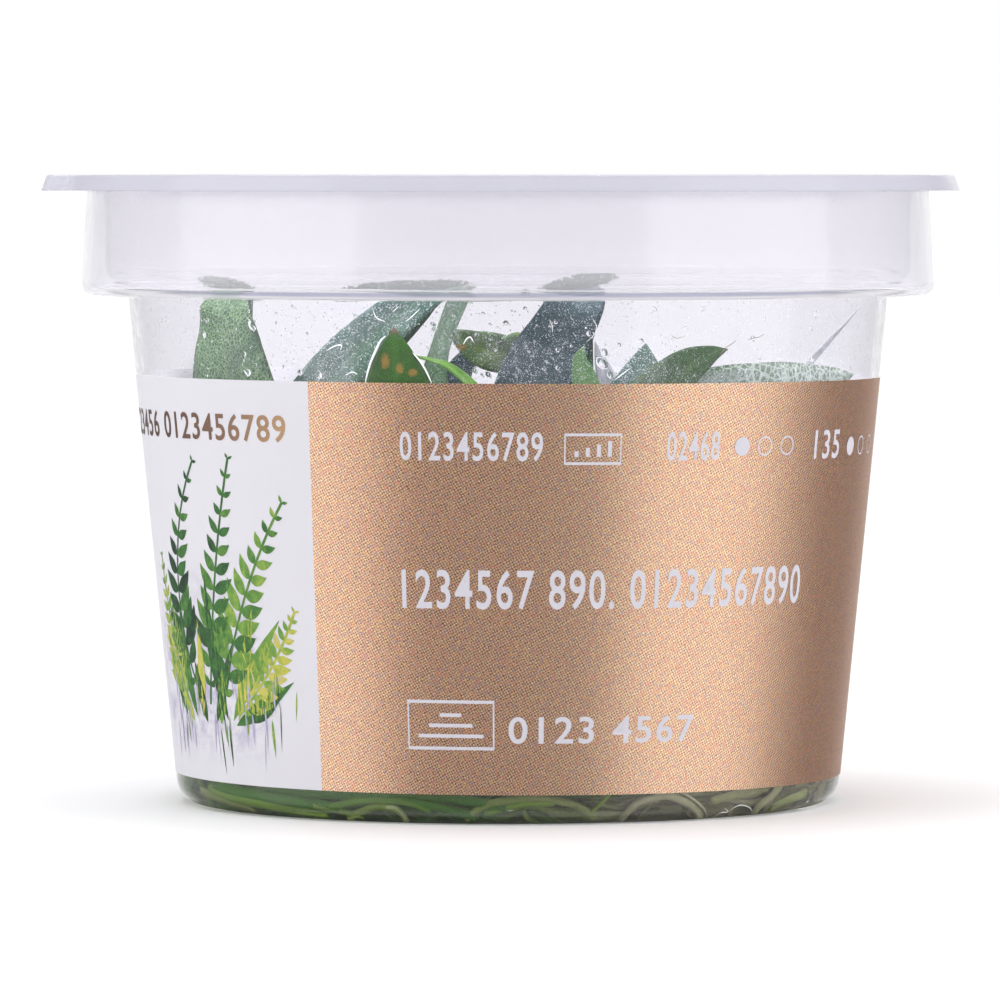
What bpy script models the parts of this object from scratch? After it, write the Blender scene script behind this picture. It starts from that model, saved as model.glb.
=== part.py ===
"""Tissue culture anubias: six plantlets on a pad of growth gel, in a clear stepped cup
with a press-in lid and a printed wrap label. Metres, +Z up, origin on the cup's axis at
its base, front (where the label's white and gold panels meet) towards -Y, pull tab
towards -X.
"""

import math

import bmesh
import bpy
from mathutils import Vector

SEGMENTS = 40  # facets round every turned piece
MERGE = 0.00001

# Cup
CUP_WALL = 0.0009
CUP_FOOT_R = 0.0333  # flat base, inside its rounded corner
CUP_HEEL_R, CUP_HEEL_Z = 0.0361, 0.0032  # where that corner meets the wall
CUP_NECK_R, SHOULDER_Z = 0.0412, 0.0550  # top of the wall, underside of the shoulder
COLLAR_LOW_R, COLLAR_TOP_R, COLLAR_CORNER = 0.0462, 0.04565, 0.0014
CUP_FLANGE_R, CUP_FLANGE_TOP_Z, FLANGE_UNDER_Z = 0.0477, 0.0672, 0.0663

# Lid
LID_SHEET = 0.0005
LID_TOP_Z, LID_RIM_TOP_R, LID_RIM_LOW_R = 0.0680, 0.0484, 0.0490
PLUG_R, PLUG_FOOT_Z = 0.0437, 0.0562
PANEL_R, PANEL_UNDER_Z = 0.0398, 0.0572
SNAP_BEAD_R, SNAP_BEAD_Z, SNAP_BEAD_HEIGHT = 0.0443, 0.0657, 0.0014
TAB_REACH, TAB_WIDTH, TAB_CORNER, TAB_DRAFT = 0.0508, 0.0240, 0.0022, 0.0005
TAB_INNER_R = 0.0481  # clear of the cup's flange

# Label, flush in a shallow seat round the cup
LABEL_LOW_Z, LABEL_TOP_Z, LABEL_SHEET, LABEL_GAP = 0.0032, 0.0463, 0.00025, 0.0001
LABEL_SEAM = 0.0030  # between its two ends, at the back

# Gel
CLEARANCE = 0.0003  # between pieces that touch
GEL_LOW_Z, GEL_TOP_Z = 0.0013, 0.0105

# Creeping stems and roots
STEM_R, STEM_LENGTH, STEM_RISE = 0.0015, 0.0095, 0.0004  # rise of the axis over the gel
STEM_SHARES = (0.45, 0.8, 1.0, 0.94, 1.0, 0.85, 0.5)  # its radius from end to end
ROOT_R, ROOT_FLOOR_Z, ROOT_POINTS = 0.00055, 0.0029, 10
ROOT_TAPER = 0.45  # share of its radius that a root has lost at its tip
ROOT_AT_WALL, ROOT_AT_FLOOR, ROOT_TURNS = 0.45, 0.5, 0.2  # shares of a root's length
STEM_ROUNDING, ROOT_ROUNDING = 1, 0  # of the tubes: 6 and 4 sides

# Leaves
PETIOLE_R, PETIOLE_SPREAD = 0.0006, 0.8  # share of the stem that bears petioles
PETIOLE_LEAN, PETIOLE_BEND = 0.35, 0.6  # shares of its reach and its rise at its bend
BLADE_NECK_POWER, BLADE_TIP_POWER = 0.6, 0.75  # higher is more pointed
BLADE_HALF_SHEET, BLADE_FOLD = 0.00026, 0.14  # rise of the margins per half width
PETIOLE_RINGS, BLADE_RINGS = 3, 8
PRESS_GAP = 0.0007  # from the wall to the middle of a blade pressed on it

# Each stem's middle, the way it creeps, and for each of its roots the bearings between
# which the root runs round the cup and its distance from the axis. Degrees from +X.
STEMS = (
    ((-0.0205, -0.0130), 60, ((215, 262, 0.0324), (205, 150, 0.0312))),
    ((-0.0040, -0.0225), -10, ((262, 226, 0.0302), (282, 324, 0.0326))),
    ((0.0022, -0.0042), 40, ((246, 294, 0.0256),)),
    ((0.0165, -0.0195), 30, ((322, 360, 0.0312), (290, 250, 0.0284))),
    ((-0.0110, 0.0165), 20, ((125, 175, 0.0325),)),
    ((0.0165, 0.0150), -35, ((42, 100, 0.0326),)),
)

# Each leaf: its width, the way across its blade, and its blade's midline from neck to tip.
# The first number of its name is its stem's.
LEAVES = {
    "leaf_1_1": (0.0158, (0.70, -0.71, 0.00), (
        (-0.0232, -0.0226, 0.0220), (-0.0282, -0.0262, 0.0420),
        (-0.0298, -0.0240, 0.0530), (-0.0290, -0.0090, 0.0568))),
    "leaf_1_2": (0.0098, (0.70, -0.10, -0.70), (
        (-0.0285, -0.0125, 0.0350), (-0.0205, -0.0160, 0.0462),
        (-0.0120, -0.0130, 0.0540), (-0.0040, -0.0060, 0.0567))),
    "leaf_1_3": (0.0140, (-0.20, -0.97, 0.00), (
        (-0.0250, -0.0060, 0.0230), (-0.0315, -0.0040, 0.0350), (-0.0350, -0.0020, 0.0410))),
    "leaf_1_4": (0.0130, (0.90, -0.40, 0.00), (
        (-0.0170, -0.0060, 0.0230), (-0.0145, -0.0010, 0.0350), (-0.0110, 0.0040, 0.0400))),
    "leaf_2_1": (0.0120, (0.95, -0.30, 0.00), (
        (-0.0080, -0.0290, 0.0230), (-0.0112, -0.0362, 0.0380), (-0.0122, -0.0380, 0.0517))),
    "leaf_2_2": (0.0085, (0.22, 0.97, 0.00), (
        (-0.0105, -0.0205, 0.0280), (-0.0086, -0.0225, 0.0440),
        (-0.0062, -0.0200, 0.0530), (-0.0030, -0.0130, 0.0566))),
    "leaf_2_3": (0.0062, (0.25, 0.90, 0.35), (
        (0.0030, -0.0310, 0.0300), (-0.0005, -0.0350, 0.0430), (-0.0040, -0.0368, 0.0466),
        (-0.0075, -0.0374, 0.0487), (-0.0102, -0.0366, 0.0492))),
    "leaf_2_4": (0.0040, (0.97, -0.20, 0.00), (
        (0.0055, -0.0255, 0.0300), (0.0070, -0.0325, 0.0420), (0.0079, -0.0350, 0.0500))),
    "leaf_3_1": (0.0104, (0.92, 0.00, -0.38), (
        (-0.0010, -0.0060, 0.0260), (0.0028, -0.0080, 0.0440),
        (0.0066, -0.0078, 0.0530), (0.0095, 0.0040, 0.0568))),
    "leaf_3_2": (0.0056, (0.10, -0.60, 0.80), (
        (0.0085, -0.0150, 0.0360), (0.0040, -0.0138, 0.0470),
        (-0.0010, -0.0124, 0.0502), (-0.0064, -0.0112, 0.0514))),
    "leaf_3_3": (0.0044, (0.95, 0.30, 0.00), (
        (0.0105, -0.0030, 0.0280), (0.0112, -0.0040, 0.0420), (0.0094, -0.0050, 0.0500))),
    "leaf_3_4": (0.0125, (-0.80, -0.60, 0.00), (
        (-0.0010, 0.0050, 0.0240), (-0.0040, 0.0090, 0.0360), (-0.0075, 0.0130, 0.0410))),
    "leaf_3_5": (0.0130, (-0.70, 0.70, 0.00), (
        (0.0085, 0.0030, 0.0240), (0.0140, 0.0060, 0.0360), (0.0185, 0.0100, 0.0410))),
    "leaf_4_1": (0.0098, (0.50, -0.20, -0.84), (
        (0.0115, -0.0275, 0.0324), (0.0130, -0.0325, 0.0430),
        (0.0170, -0.0335, 0.0480), (0.0216, -0.0326, 0.0506))),
    "leaf_4_2": (0.0105, (0.10, -0.10, 0.99), (
        (0.0150, -0.0320, 0.0400), (0.0235, -0.0300, 0.0432),
        (0.0315, -0.0220, 0.0440), (0.0365, -0.0110, 0.0452))),
    "leaf_4_3": (0.0086, (0.97, -0.20, 0.00), (
        (0.0170, -0.0200, 0.0280), (0.0158, -0.0215, 0.0420), (0.0146, -0.0210, 0.0503))),
    "leaf_4_4": (0.0135, (0.75, 0.66, 0.00), (
        (0.0235, -0.0230, 0.0200), (0.0265, -0.0265, 0.0290), (0.0280, -0.0275, 0.0370))),
    "leaf_4_5": (0.0140, (0.85, -0.50, 0.00), (
        (0.0205, -0.0110, 0.0240), (0.0230, -0.0050, 0.0360), (0.0262, 0.0010, 0.0410))),
    "leaf_5_1": (0.0125, (-0.20, 0.98, 0.00), (
        (-0.0200, 0.0080, 0.0230), (-0.0250, 0.0080, 0.0340), (-0.0300, 0.0080, 0.0400))),
    "leaf_5_2": (0.0135, (-0.65, -0.76, 0.00), (
        (-0.0230, 0.0160, 0.0240), (-0.0282, 0.0190, 0.0420),
        (-0.0290, 0.0165, 0.0530), (-0.0275, 0.0030, 0.0568))),
    "leaf_5_3": (0.0140, (-1.00, 0.10, 0.00), (
        (-0.0120, 0.0250, 0.0240), (-0.0115, 0.0280, 0.0420),
        (-0.0105, 0.0240, 0.0540), (-0.0085, 0.0100, 0.0568))),
    "leaf_5_4": (0.0135, (-0.97, 0.20, 0.00), (
        (0.0005, 0.0260, 0.0220), (0.0030, 0.0325, 0.0324), (0.0050, 0.0350, 0.0410))),
    "leaf_6_1": (0.0125, (-0.95, 0.20, 0.00), (
        (0.0080, 0.0190, 0.0240), (0.0068, 0.0230, 0.0420),
        (0.0072, 0.0205, 0.0530), (0.0090, 0.0090, 0.0567))),
    "leaf_6_2": (0.0145, (-0.68, 0.73, 0.00), (
        (0.0205, 0.0200, 0.0230), (0.0255, 0.0245, 0.0350), (0.0280, 0.0265, 0.0430))),
    "leaf_6_3": (0.0030, (0.60, 0.50, -0.60), (
        (0.0225, 0.0095, 0.0324), (0.0310, 0.0045, 0.0450), (0.0385, 0.0020, 0.0537))),
    "leaf_6_4": (0.0130, (0.20, 0.97, 0.00), (
        (0.0265, 0.0060, 0.0210), (0.0320, 0.0030, 0.0300), (0.0345, 0.0010, 0.0380))),
}

# Base colour, roughness, metallic and alpha
FINISHES = {
    "clear_plastic": ((0.83, 0.82, 0.88), 0.12, 0.0, 0.35),
    "label_print": ((0.62, 0.40, 0.26), 0.42, 0.6, 1.0),
    "gel": ((0.55, 0.56, 0.44), 0.10, 0.0, 0.60),
    "stem": ((0.18, 0.24, 0.07), 0.55, 0.0, 1.0),
    "leaf": ((0.07, 0.22, 0.04), 0.35, 0.0, 1.0),
}


def clear_scene():
    for thing in list(bpy.data.objects):
        bpy.data.objects.remove(thing)


def new_collection(name):
    collection = bpy.data.collections.new(name)
    bpy.context.scene.collection.children.link(collection)
    return collection


def finish(name):
    """A material from the table of finishes."""
    colour, roughness, metallic, alpha = FINISHES[name]
    material = bpy.data.materials.new(name)
    material.use_nodes = True
    shader = material.node_tree.nodes["Principled BSDF"]
    shader.inputs["Base Color"].default_value = (*colour, 1.0)
    shader.inputs["Roughness"].default_value = roughness
    shader.inputs["Metallic"].default_value = metallic
    shader.inputs["Alpha"].default_value = alpha
    return material


def add_object(name, mesh, collection, material=None):
    made = bpy.data.objects.new(name, mesh)
    collection.objects.link(made)
    if material:
        mesh.materials.append(material)
    return made


def as_cutter(thing):
    """A helper that only cuts or joins."""
    thing.hide_render = True
    thing.display_type = "WIRE"
    return thing


def combine(target, helper, operation, solver="EXACT"):
    boolean = target.modifiers.new(helper.name, "BOOLEAN")
    boolean.operation = operation
    boolean.solver = solver
    boolean.object = helper


def rounded(start, knee, end, count=3):
    """Points on the curve that leaves start towards knee and arrives at end from it."""
    line = []
    for step in range(count + 1):
        t = step / count
        line.append(
            tuple(
                a * (1 - t) ** 2 + 2 * b * t * (1 - t) + c * t**2
                for a, b, c in zip(start, knee, end)
            )
        )
    return line


def turned(name, outline, collection, material):
    """A solid turned round Z from (radius, height) points, top to bottom on its outside."""
    mesh = bpy.data.meshes.new(name)
    edges = [(i, i + 1) for i in range(len(outline) - 1)]
    mesh.from_pydata([(r, 0.0, z) for r, z in outline], edges, [])
    made = add_object(name, mesh, collection, material)
    screw = made.modifiers.new("turn", "SCREW")
    screw.axis = "Z"
    screw.angle = 2 * math.pi
    screw.steps = screw.render_steps = SEGMENTS
    screw.use_merge_vertices = True
    screw.merge_threshold = MERGE
    screw.use_smooth_shade = True
    return made


def wall_radius(z):
    """The cup's outer radius at a height of its tapered wall."""
    share = (z - CUP_HEEL_Z) / (SHOULDER_Z - CUP_HEEL_Z)
    return CUP_HEEL_R + share * (CUP_NECK_R - CUP_HEEL_R)


def make_cup(collection, material):
    seat_depth = LABEL_SHEET + LABEL_GAP
    seat_low, seat_top = LABEL_LOW_Z - LABEL_GAP, LABEL_TOP_Z + LABEL_GAP
    ledge_z = SHOULDER_Z + CUP_WALL
    inner_low_r = COLLAR_LOW_R - CUP_WALL
    inner_top_r = COLLAR_TOP_R - CUP_WALL
    inner_heel = (wall_radius(CUP_HEEL_Z) - CUP_WALL, CUP_HEEL_Z + CUP_WALL / 2)
    outline = [(0.0, CUP_WALL)]
    outline += rounded((CUP_FOOT_R - CUP_WALL, CUP_WALL), (inner_heel[0], CUP_WALL), inner_heel)
    outline += [(wall_radius(ledge_z) - CUP_WALL, ledge_z)]
    outline += [(inner_low_r - COLLAR_CORNER / 2, ledge_z)]
    outline += [(inner_low_r, ledge_z + COLLAR_CORNER / 2)]
    outline += [(inner_top_r, CUP_FLANGE_TOP_Z), (CUP_FLANGE_R, CUP_FLANGE_TOP_Z)]
    outline += [(CUP_FLANGE_R, FLANGE_UNDER_Z), (COLLAR_TOP_R, FLANGE_UNDER_Z)]
    outline += rounded(
        (COLLAR_LOW_R, SHOULDER_Z + COLLAR_CORNER),
        (COLLAR_LOW_R, SHOULDER_Z),
        (COLLAR_LOW_R - COLLAR_CORNER, SHOULDER_Z),
        2,
    )
    outline += [(CUP_NECK_R, SHOULDER_Z)]
    outline += [(wall_radius(seat_top), seat_top), (wall_radius(seat_top) - seat_depth, seat_top)]
    outline += [(wall_radius(seat_low) - seat_depth, seat_low), (wall_radius(seat_low), seat_low)]
    heel = (wall_radius(seat_low), seat_low)
    outline += rounded(heel, (heel[0], 0.0), (CUP_FOOT_R, 0.0))[1:]
    outline += [(0.0, 0.0)]
    return turned("cup", outline, collection, material)


def make_lid(collection, cutters, material):
    """A panel sunk on a plug, a flange and a turned-down rim, all of one thin sheet."""
    panel_top = PANEL_UNDER_Z + LID_SHEET
    plug_in_r = PLUG_R - LID_SHEET
    groove_r = PANEL_R + LID_SHEET
    flange_under = LID_TOP_Z - LID_SHEET
    bead_low = SNAP_BEAD_Z - SNAP_BEAD_HEIGHT / 2
    bead_top = SNAP_BEAD_Z + SNAP_BEAD_HEIGHT / 2
    outline = [(0.0, panel_top), (groove_r, panel_top)]
    outline += [(groove_r + LID_SHEET, PLUG_FOOT_Z + LID_SHEET)]
    outline += [(plug_in_r - LID_SHEET, PLUG_FOOT_Z + LID_SHEET), (plug_in_r, panel_top)]
    outline += [(plug_in_r, LID_TOP_Z), (LID_RIM_TOP_R, LID_TOP_Z), (LID_RIM_LOW_R, FLANGE_UNDER_Z)]
    outline += [(LID_RIM_LOW_R - LID_SHEET, FLANGE_UNDER_Z), (LID_RIM_TOP_R - LID_SHEET, flange_under)]
    outline += [(PLUG_R, flange_under), (PLUG_R, bead_top), (SNAP_BEAD_R, SNAP_BEAD_Z)]
    outline += [(PLUG_R, bead_low), (PLUG_R, PANEL_UNDER_Z + LID_SHEET / 2)]
    outline += [(PLUG_R - 2 * LID_SHEET, PLUG_FOOT_Z), (PANEL_R + LID_SHEET, PLUG_FOOT_Z)]
    outline += [(PANEL_R, PANEL_UNDER_Z), (0.0, PANEL_UNDER_Z)]
    lid = turned("lid", outline, collection, material)
    tab = make_tab(cutters)
    combine(lid, tab, "UNION")
    return lid


def make_tab(cutters):
    """The pull tab: a plate with rounded, drafted outer corners, cut clear of the cup."""
    height = LID_TOP_Z - FLANGE_UNDER_Z
    depth = TAB_REACH - TAB_INNER_R + 2 * TAB_CORNER
    shape = bmesh.new()
    bmesh.ops.create_cube(shape, size=1.0)
    for vert in shape.verts:
        draft = TAB_DRAFT if vert.co.z > 0 else 0.0
        outer = vert.co.x < 0
        vert.co.x = -TAB_REACH + draft if outer else -TAB_REACH + depth
        vert.co.y = math.copysign(TAB_WIDTH / 2 - draft, vert.co.y)
        vert.co.z = FLANGE_UNDER_Z + height * (vert.co.z + 0.5)
    upright = [
        edge
        for edge in shape.edges
        if abs(edge.verts[0].co.z - edge.verts[1].co.z) > height / 2
        and max(vert.co.x for vert in edge.verts) < -TAB_INNER_R
    ]
    bmesh.ops.bevel(shape, geom=upright, offset=TAB_CORNER, segments=3, affect="EDGES", profile=0.5)
    mesh = bpy.data.meshes.new("tab")
    shape.to_mesh(mesh)
    shape.free()
    tab = as_cutter(add_object("tab", mesh, cutters))
    core = bpy.data.meshes.new("tab_core")
    shape = bmesh.new()
    bmesh.ops.create_cone(
        shape,
        cap_ends=True,
        segments=SEGMENTS,
        radius1=TAB_INNER_R,
        radius2=TAB_INNER_R,
        depth=TAB_INNER_R,
    )
    bmesh.ops.translate(shape, vec=(0.0, 0.0, LID_TOP_Z), verts=shape.verts)
    shape.to_mesh(core)
    shape.free()
    combine(tab, as_cutter(add_object("tab_core", core, cutters)), "DIFFERENCE")
    return tab


def make_label(collection, cutters, material):
    low_r, top_r = wall_radius(LABEL_LOW_Z), wall_radius(LABEL_TOP_Z)
    outline = [(top_r - LABEL_SHEET, LABEL_TOP_Z), (top_r, LABEL_TOP_Z)]
    outline += [(low_r, LABEL_LOW_Z), (low_r - LABEL_SHEET, LABEL_LOW_Z)]
    label = turned("label", outline + outline[:1], collection, material)
    seam = bpy.data.meshes.new("seam")
    shape = bmesh.new()
    bmesh.ops.create_cube(shape, size=1.0)
    bmesh.ops.scale(shape, vec=(LABEL_SEAM, CUP_NECK_R, SHOULDER_Z * 2), verts=shape.verts)
    bmesh.ops.translate(shape, vec=(0.0, CUP_NECK_R, 0.0), verts=shape.verts)
    shape.to_mesh(seam)
    shape.free()
    combine(label, as_cutter(add_object("seam", seam, cutters)), "DIFFERENCE")
    return label


def tube(points, radius, shares, rounding):
    """A closed mesh along the points, from a bevelled curve with filled ends."""
    curve = bpy.data.curves.new("tube", "CURVE")
    curve.dimensions = "3D"
    curve.bevel_depth = radius
    curve.bevel_resolution = rounding
    curve.use_fill_caps = True
    spline = curve.splines.new("POLY")
    spline.points.add(len(points) - 1)
    for knot, place, share in zip(spline.points, points, shares):
        knot.co = (*place, 1.0)
        knot.radius = share
    guide = bpy.data.objects.new("tube", curve)
    bpy.context.scene.collection.objects.link(guide)
    graph = bpy.context.evaluated_depsgraph_get()
    mesh = bpy.data.meshes.new_from_object(guide.evaluated_get(graph))
    bpy.data.objects.remove(guide)
    shape = bmesh.new()
    shape.from_mesh(mesh)
    bmesh.ops.remove_doubles(shape, verts=shape.verts, dist=MERGE / 10)
    shape.to_mesh(mesh)
    shape.free()
    mesh.materials.clear()
    return mesh


def smooth_step(t):
    t = min(max(t, 0.0), 1.0)
    return t * t * (3 - 2 * t)


def heading(bearing):
    return Vector((math.cos(math.radians(bearing)), math.sin(math.radians(bearing)), 0.0))


def stem_line(stem):
    """The stem's axis: almost straight along the gel, its ends dipping."""
    (x, y), bearing, _ = stem
    along = heading(bearing)
    steps = len(STEM_SHARES) - 1
    line = []
    for step in range(steps + 1):
        share = step / steps - 0.5
        dip = STEM_R * 0.5 * (2 * share) ** 2
        middle = Vector((x, y, GEL_TOP_Z + STEM_RISE - dip))
        line.append(middle + along * share * STEM_LENGTH)
    return line


def root_line(stem, root):
    """Down from the stem to the floor, out to the wall and on round the cup."""
    (x, y), _, _ = stem
    start_bearing, end_bearing, reach = root
    line = []
    for step in range(ROOT_POINTS):
        t = step / (ROOT_POINTS - 1)
        out = smooth_step(t / ROOT_AT_WALL)
        down = smooth_step(t / ROOT_AT_FLOOR)
        turn = max(t - ROOT_TURNS, 0.0) / (1 - ROOT_TURNS)
        goal = heading(start_bearing + (end_bearing - start_bearing) * turn) * reach
        place = Vector((x, y, 0.0)).lerp(goal, out)
        place.z = (GEL_TOP_Z + STEM_RISE) * (1 - down) + ROOT_FLOOR_Z * down
        line.append(place)
    return line


def make_stems(collection, cutters, material):
    """Each creeping stem joined with its roots, and the pockets that they need in the gel."""
    pockets = []
    root_shares = [1.0 - ROOT_TAPER * step / (ROOT_POINTS - 1) for step in range(ROOT_POINTS)]
    for number, stem in enumerate(STEMS, 1):
        line = stem_line(stem)
        mesh = tube(line, STEM_R, STEM_SHARES, STEM_ROUNDING)
        made = add_object(f"rhizome_{number}", mesh, collection, material)
        wider = [(STEM_R * share + CLEARANCE) / STEM_R for share in STEM_SHARES]
        pocket = tube(line, STEM_R, wider, STEM_ROUNDING)
        pockets.append(as_cutter(add_object(f"stem_pocket_{number}", pocket, cutters)))
        for index, root in enumerate(stem[2], 1):
            name = f"root_{number}_{index}"
            path = root_line(stem, root)
            mesh = tube(path, ROOT_R, root_shares, ROOT_ROUNDING)
            combine(made, as_cutter(add_object(name, mesh, cutters)), "UNION")
            wider = [(ROOT_R * share + CLEARANCE) / ROOT_R for share in root_shares]
            past_tip = path[-1] + (path[-1] - path[-2]).normalized() * CLEARANCE
            pocket = tube(path[:-1] + [past_tip], ROOT_R, wider, ROOT_ROUNDING)
            pockets.append(as_cutter(add_object(f"pocket_of_{name}", pocket, cutters)))
    return pockets


def make_gel(collection, pockets, material):
    floor_r = CUP_FOOT_R - CUP_WALL
    heel_r = wall_radius(CUP_HEEL_Z) - CUP_WALL - CLEARANCE
    top_r = wall_radius(GEL_TOP_Z) - CUP_WALL - CLEARANCE
    outline = [(0.0, GEL_TOP_Z), (top_r, GEL_TOP_Z)]
    heel = (heel_r, CUP_HEEL_Z + CUP_WALL / 2)
    outline += rounded(heel, (heel_r, GEL_LOW_Z), (floor_r, GEL_LOW_Z))
    outline += [(0.0, GEL_LOW_Z)]
    gel = turned("gel", outline, collection, material)
    for pocket in pockets:
        combine(gel, pocket, "DIFFERENCE", "MANIFOLD")  # pockets that cross each other
    return gel


def smooth_line(points, per_span=8):
    """A smooth curve through the points, with the same number of steps in each span."""
    ends = [2 * points[0] - points[1], *points, 2 * points[-1] - points[-2]]
    line = []
    for before, start, end, after in zip(ends, ends[1:], ends[2:], ends[3:]):
        for step in range(per_span):
            t = step / per_span
            line.append(
                0.5
                * (
                    2 * start
                    + (end - before) * t
                    + (2 * before - 5 * start + 4 * end - after) * t**2
                    + (3 * start - before - 3 * end + after) * t**3
                )
            )
    return line + [points[-1]]


def evenly(line, count):
    """The line's points at count + 1 places, at equal steps along it."""
    lengths = [0.0]
    for start, end in zip(line, line[1:]):
        lengths.append(lengths[-1] + (end - start).length)
    places, span = [], 0
    for step in range(count + 1):
        goal = lengths[-1] * step / count
        while span < len(line) - 2 and lengths[span + 1] < goal:
            span += 1
        share = (goal - lengths[span]) / (lengths[span + 1] - lengths[span])
        places.append(line[span].lerp(line[span + 1], share))
    return places


def pressed(point):
    """The point, or where the wall or the lid's panel would press it to."""
    inside = min(wall_radius(point.z) - CUP_WALL, PANEL_R) - PRESS_GAP
    flat = Vector((point.x, point.y, 0.0))
    if flat.length > inside:
        flat *= inside / flat.length
    return Vector((flat.x, flat.y, min(point.z, PANEL_UNDER_Z - PRESS_GAP)))


def blade_share(t):
    """The blade's width from neck to tip as a share of its widest."""
    widest = BLADE_NECK_POWER / (BLADE_NECK_POWER + BLADE_TIP_POWER)
    at_widest = widest**BLADE_NECK_POWER * (1 - widest) ** BLADE_TIP_POWER
    return t**BLADE_NECK_POWER * (1 - t) ** BLADE_TIP_POWER / at_widest


def leaf_rings(base, width, across, midline):
    """Six-sided rings round the petiole and the blade, and the blade's tip."""
    neck = Vector(midline[0])
    lift = base.lerp(neck, PETIOLE_LEAN)
    lift.z = base.z + (neck.z - base.z) * PETIOLE_BEND
    per_span = 8
    line = smooth_line([base, lift] + [Vector(place) for place in midline], per_span)
    split = 2 * per_span
    petiole = evenly(line[: split + 1], PETIOLE_RINGS)
    blade = evenly(line[split:], BLADE_RINGS)
    places = petiole[:-1] + blade
    rings = []
    for index, place in enumerate(places[:-1]):
        ahead = places[index + 1] - places[max(index - 1, 0)]
        ahead.normalize()
        side = Vector(across)
        side -= ahead * side.dot(ahead)
        side.normalize()
        up = side.cross(ahead)
        t = max(index - PETIOLE_RINGS, 0) / BLADE_RINGS
        half = max(PETIOLE_R, width / 2 * blade_share(t))
        flat = min((half - PETIOLE_R) / (3 * PETIOLE_R), 1.0)
        sheet = PETIOLE_R * 0.87 * (1 - flat) + BLADE_HALF_SHEET * flat
        if index > PETIOLE_RINGS:
            half = width / 2 * blade_share(t)
        ring = []
        for v, lifted in ((-1, 0), (-0.5, 1), (0.5, 1), (1, 0), (0.5, -1), (-0.5, -1)):
            fold = BLADE_FOLD * abs(v) * half * flat
            ring.append(pressed(place + side * v * half + up * fold) + up * lifted * sheet)
        rings.append(ring)
    return rings, pressed(places[-1])


def make_leaf(name, base, leaf, collection, material):
    """A loft from the round petiole to the flat, folded blade, closed at both ends."""
    rings, tip = leaf_rings(base, *leaf)
    shape = bmesh.new()
    rows = [[shape.verts.new(point) for point in ring] for ring in rings]
    shape.faces.new(rows[0])
    for low, high in zip(rows, rows[1:]):
        for corner in range(len(low)):
            following = (corner + 1) % len(low)
            shape.faces.new((low[corner], high[corner], high[following], low[following]))
    end = shape.verts.new(tip)
    for corner in range(len(rows[-1])):
        following = (corner + 1) % len(rows[-1])
        shape.faces.new((rows[-1][corner], end, rows[-1][following]))
    bmesh.ops.recalc_face_normals(shape, faces=shape.faces)
    mesh = bpy.data.meshes.new(name)
    shape.to_mesh(mesh)
    shape.free()
    mesh.shade_smooth()
    return add_object(name, mesh, collection, material)


def make_leaves(collection, material):
    for number, stem in enumerate(STEMS, 1):
        names = [name for name in LEAVES if name.startswith(f"leaf_{number}_")]
        (x, y), bearing, _ = stem
        base_z = GEL_TOP_Z + STEM_RISE + STEM_R + CLEARANCE
        for index, name in enumerate(names):
            share = (index / (len(names) - 1) - 0.5) * PETIOLE_SPREAD
            base = Vector((x, y, base_z)) + heading(bearing) * share * STEM_LENGTH
            make_leaf(name, base, LEAVES[name], collection, material)


def main():
    clear_scene()
    parts = new_collection("tissue_culture_anubias")
    cutters = new_collection("cutters")
    finishes = {name: finish(name) for name in FINISHES}
    make_cup(parts, finishes["clear_plastic"])
    make_lid(parts, cutters, finishes["clear_plastic"])
    make_label(parts, cutters, finishes["label_print"])
    pockets = make_stems(parts, cutters, finishes["stem"])
    make_gel(parts, pockets, finishes["gel"])
    make_leaves(parts, finishes["leaf"])


main()
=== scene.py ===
import math
import random

import bmesh
import bpy
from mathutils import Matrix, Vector, noise


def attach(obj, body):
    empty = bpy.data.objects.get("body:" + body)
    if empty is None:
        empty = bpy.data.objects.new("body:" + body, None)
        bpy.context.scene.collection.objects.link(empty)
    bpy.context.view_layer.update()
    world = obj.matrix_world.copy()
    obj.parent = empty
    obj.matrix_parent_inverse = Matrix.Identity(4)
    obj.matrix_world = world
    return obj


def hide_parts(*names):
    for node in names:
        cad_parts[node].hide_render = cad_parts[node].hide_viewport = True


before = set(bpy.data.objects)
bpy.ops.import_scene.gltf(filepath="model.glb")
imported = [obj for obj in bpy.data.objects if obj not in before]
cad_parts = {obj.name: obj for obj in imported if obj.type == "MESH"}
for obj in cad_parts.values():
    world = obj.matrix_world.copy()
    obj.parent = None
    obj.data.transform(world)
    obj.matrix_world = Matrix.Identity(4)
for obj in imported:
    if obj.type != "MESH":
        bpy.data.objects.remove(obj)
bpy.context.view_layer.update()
mm = 0.001


# Shader maths

class Wire:  # a node's output, with the operators that shader maths uses
    def __init__(self, finish, socket):
        self.finish = finish
        self.socket = socket

    def maths(self, operation, *values):
        return self.finish.node("Math", {"operation": operation}, dict(enumerate(values)))

    def __add__(self, other):
        return self.maths("ADD", self, other)

    def __radd__(self, other):
        return self.maths("ADD", other, self)

    def __sub__(self, other):
        return self.maths("SUBTRACT", self, other)

    def __rsub__(self, other):
        return self.maths("SUBTRACT", other, self)

    def __mul__(self, other):
        return self.maths("MULTIPLY", self, other)

    def __rmul__(self, other):
        return self.maths("MULTIPLY", other, self)

    def __truediv__(self, other):
        return self.maths("DIVIDE", self, other)

    def __rtruediv__(self, other):
        return self.maths("DIVIDE", other, self)

    def __pow__(self, other):
        return self.maths("POWER", self, other)

    def __mod__(self, other):
        return self.maths("FLOORED_MODULO", self, other)

    def __abs__(self):
        return self.maths("ABSOLUTE", self)


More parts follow.
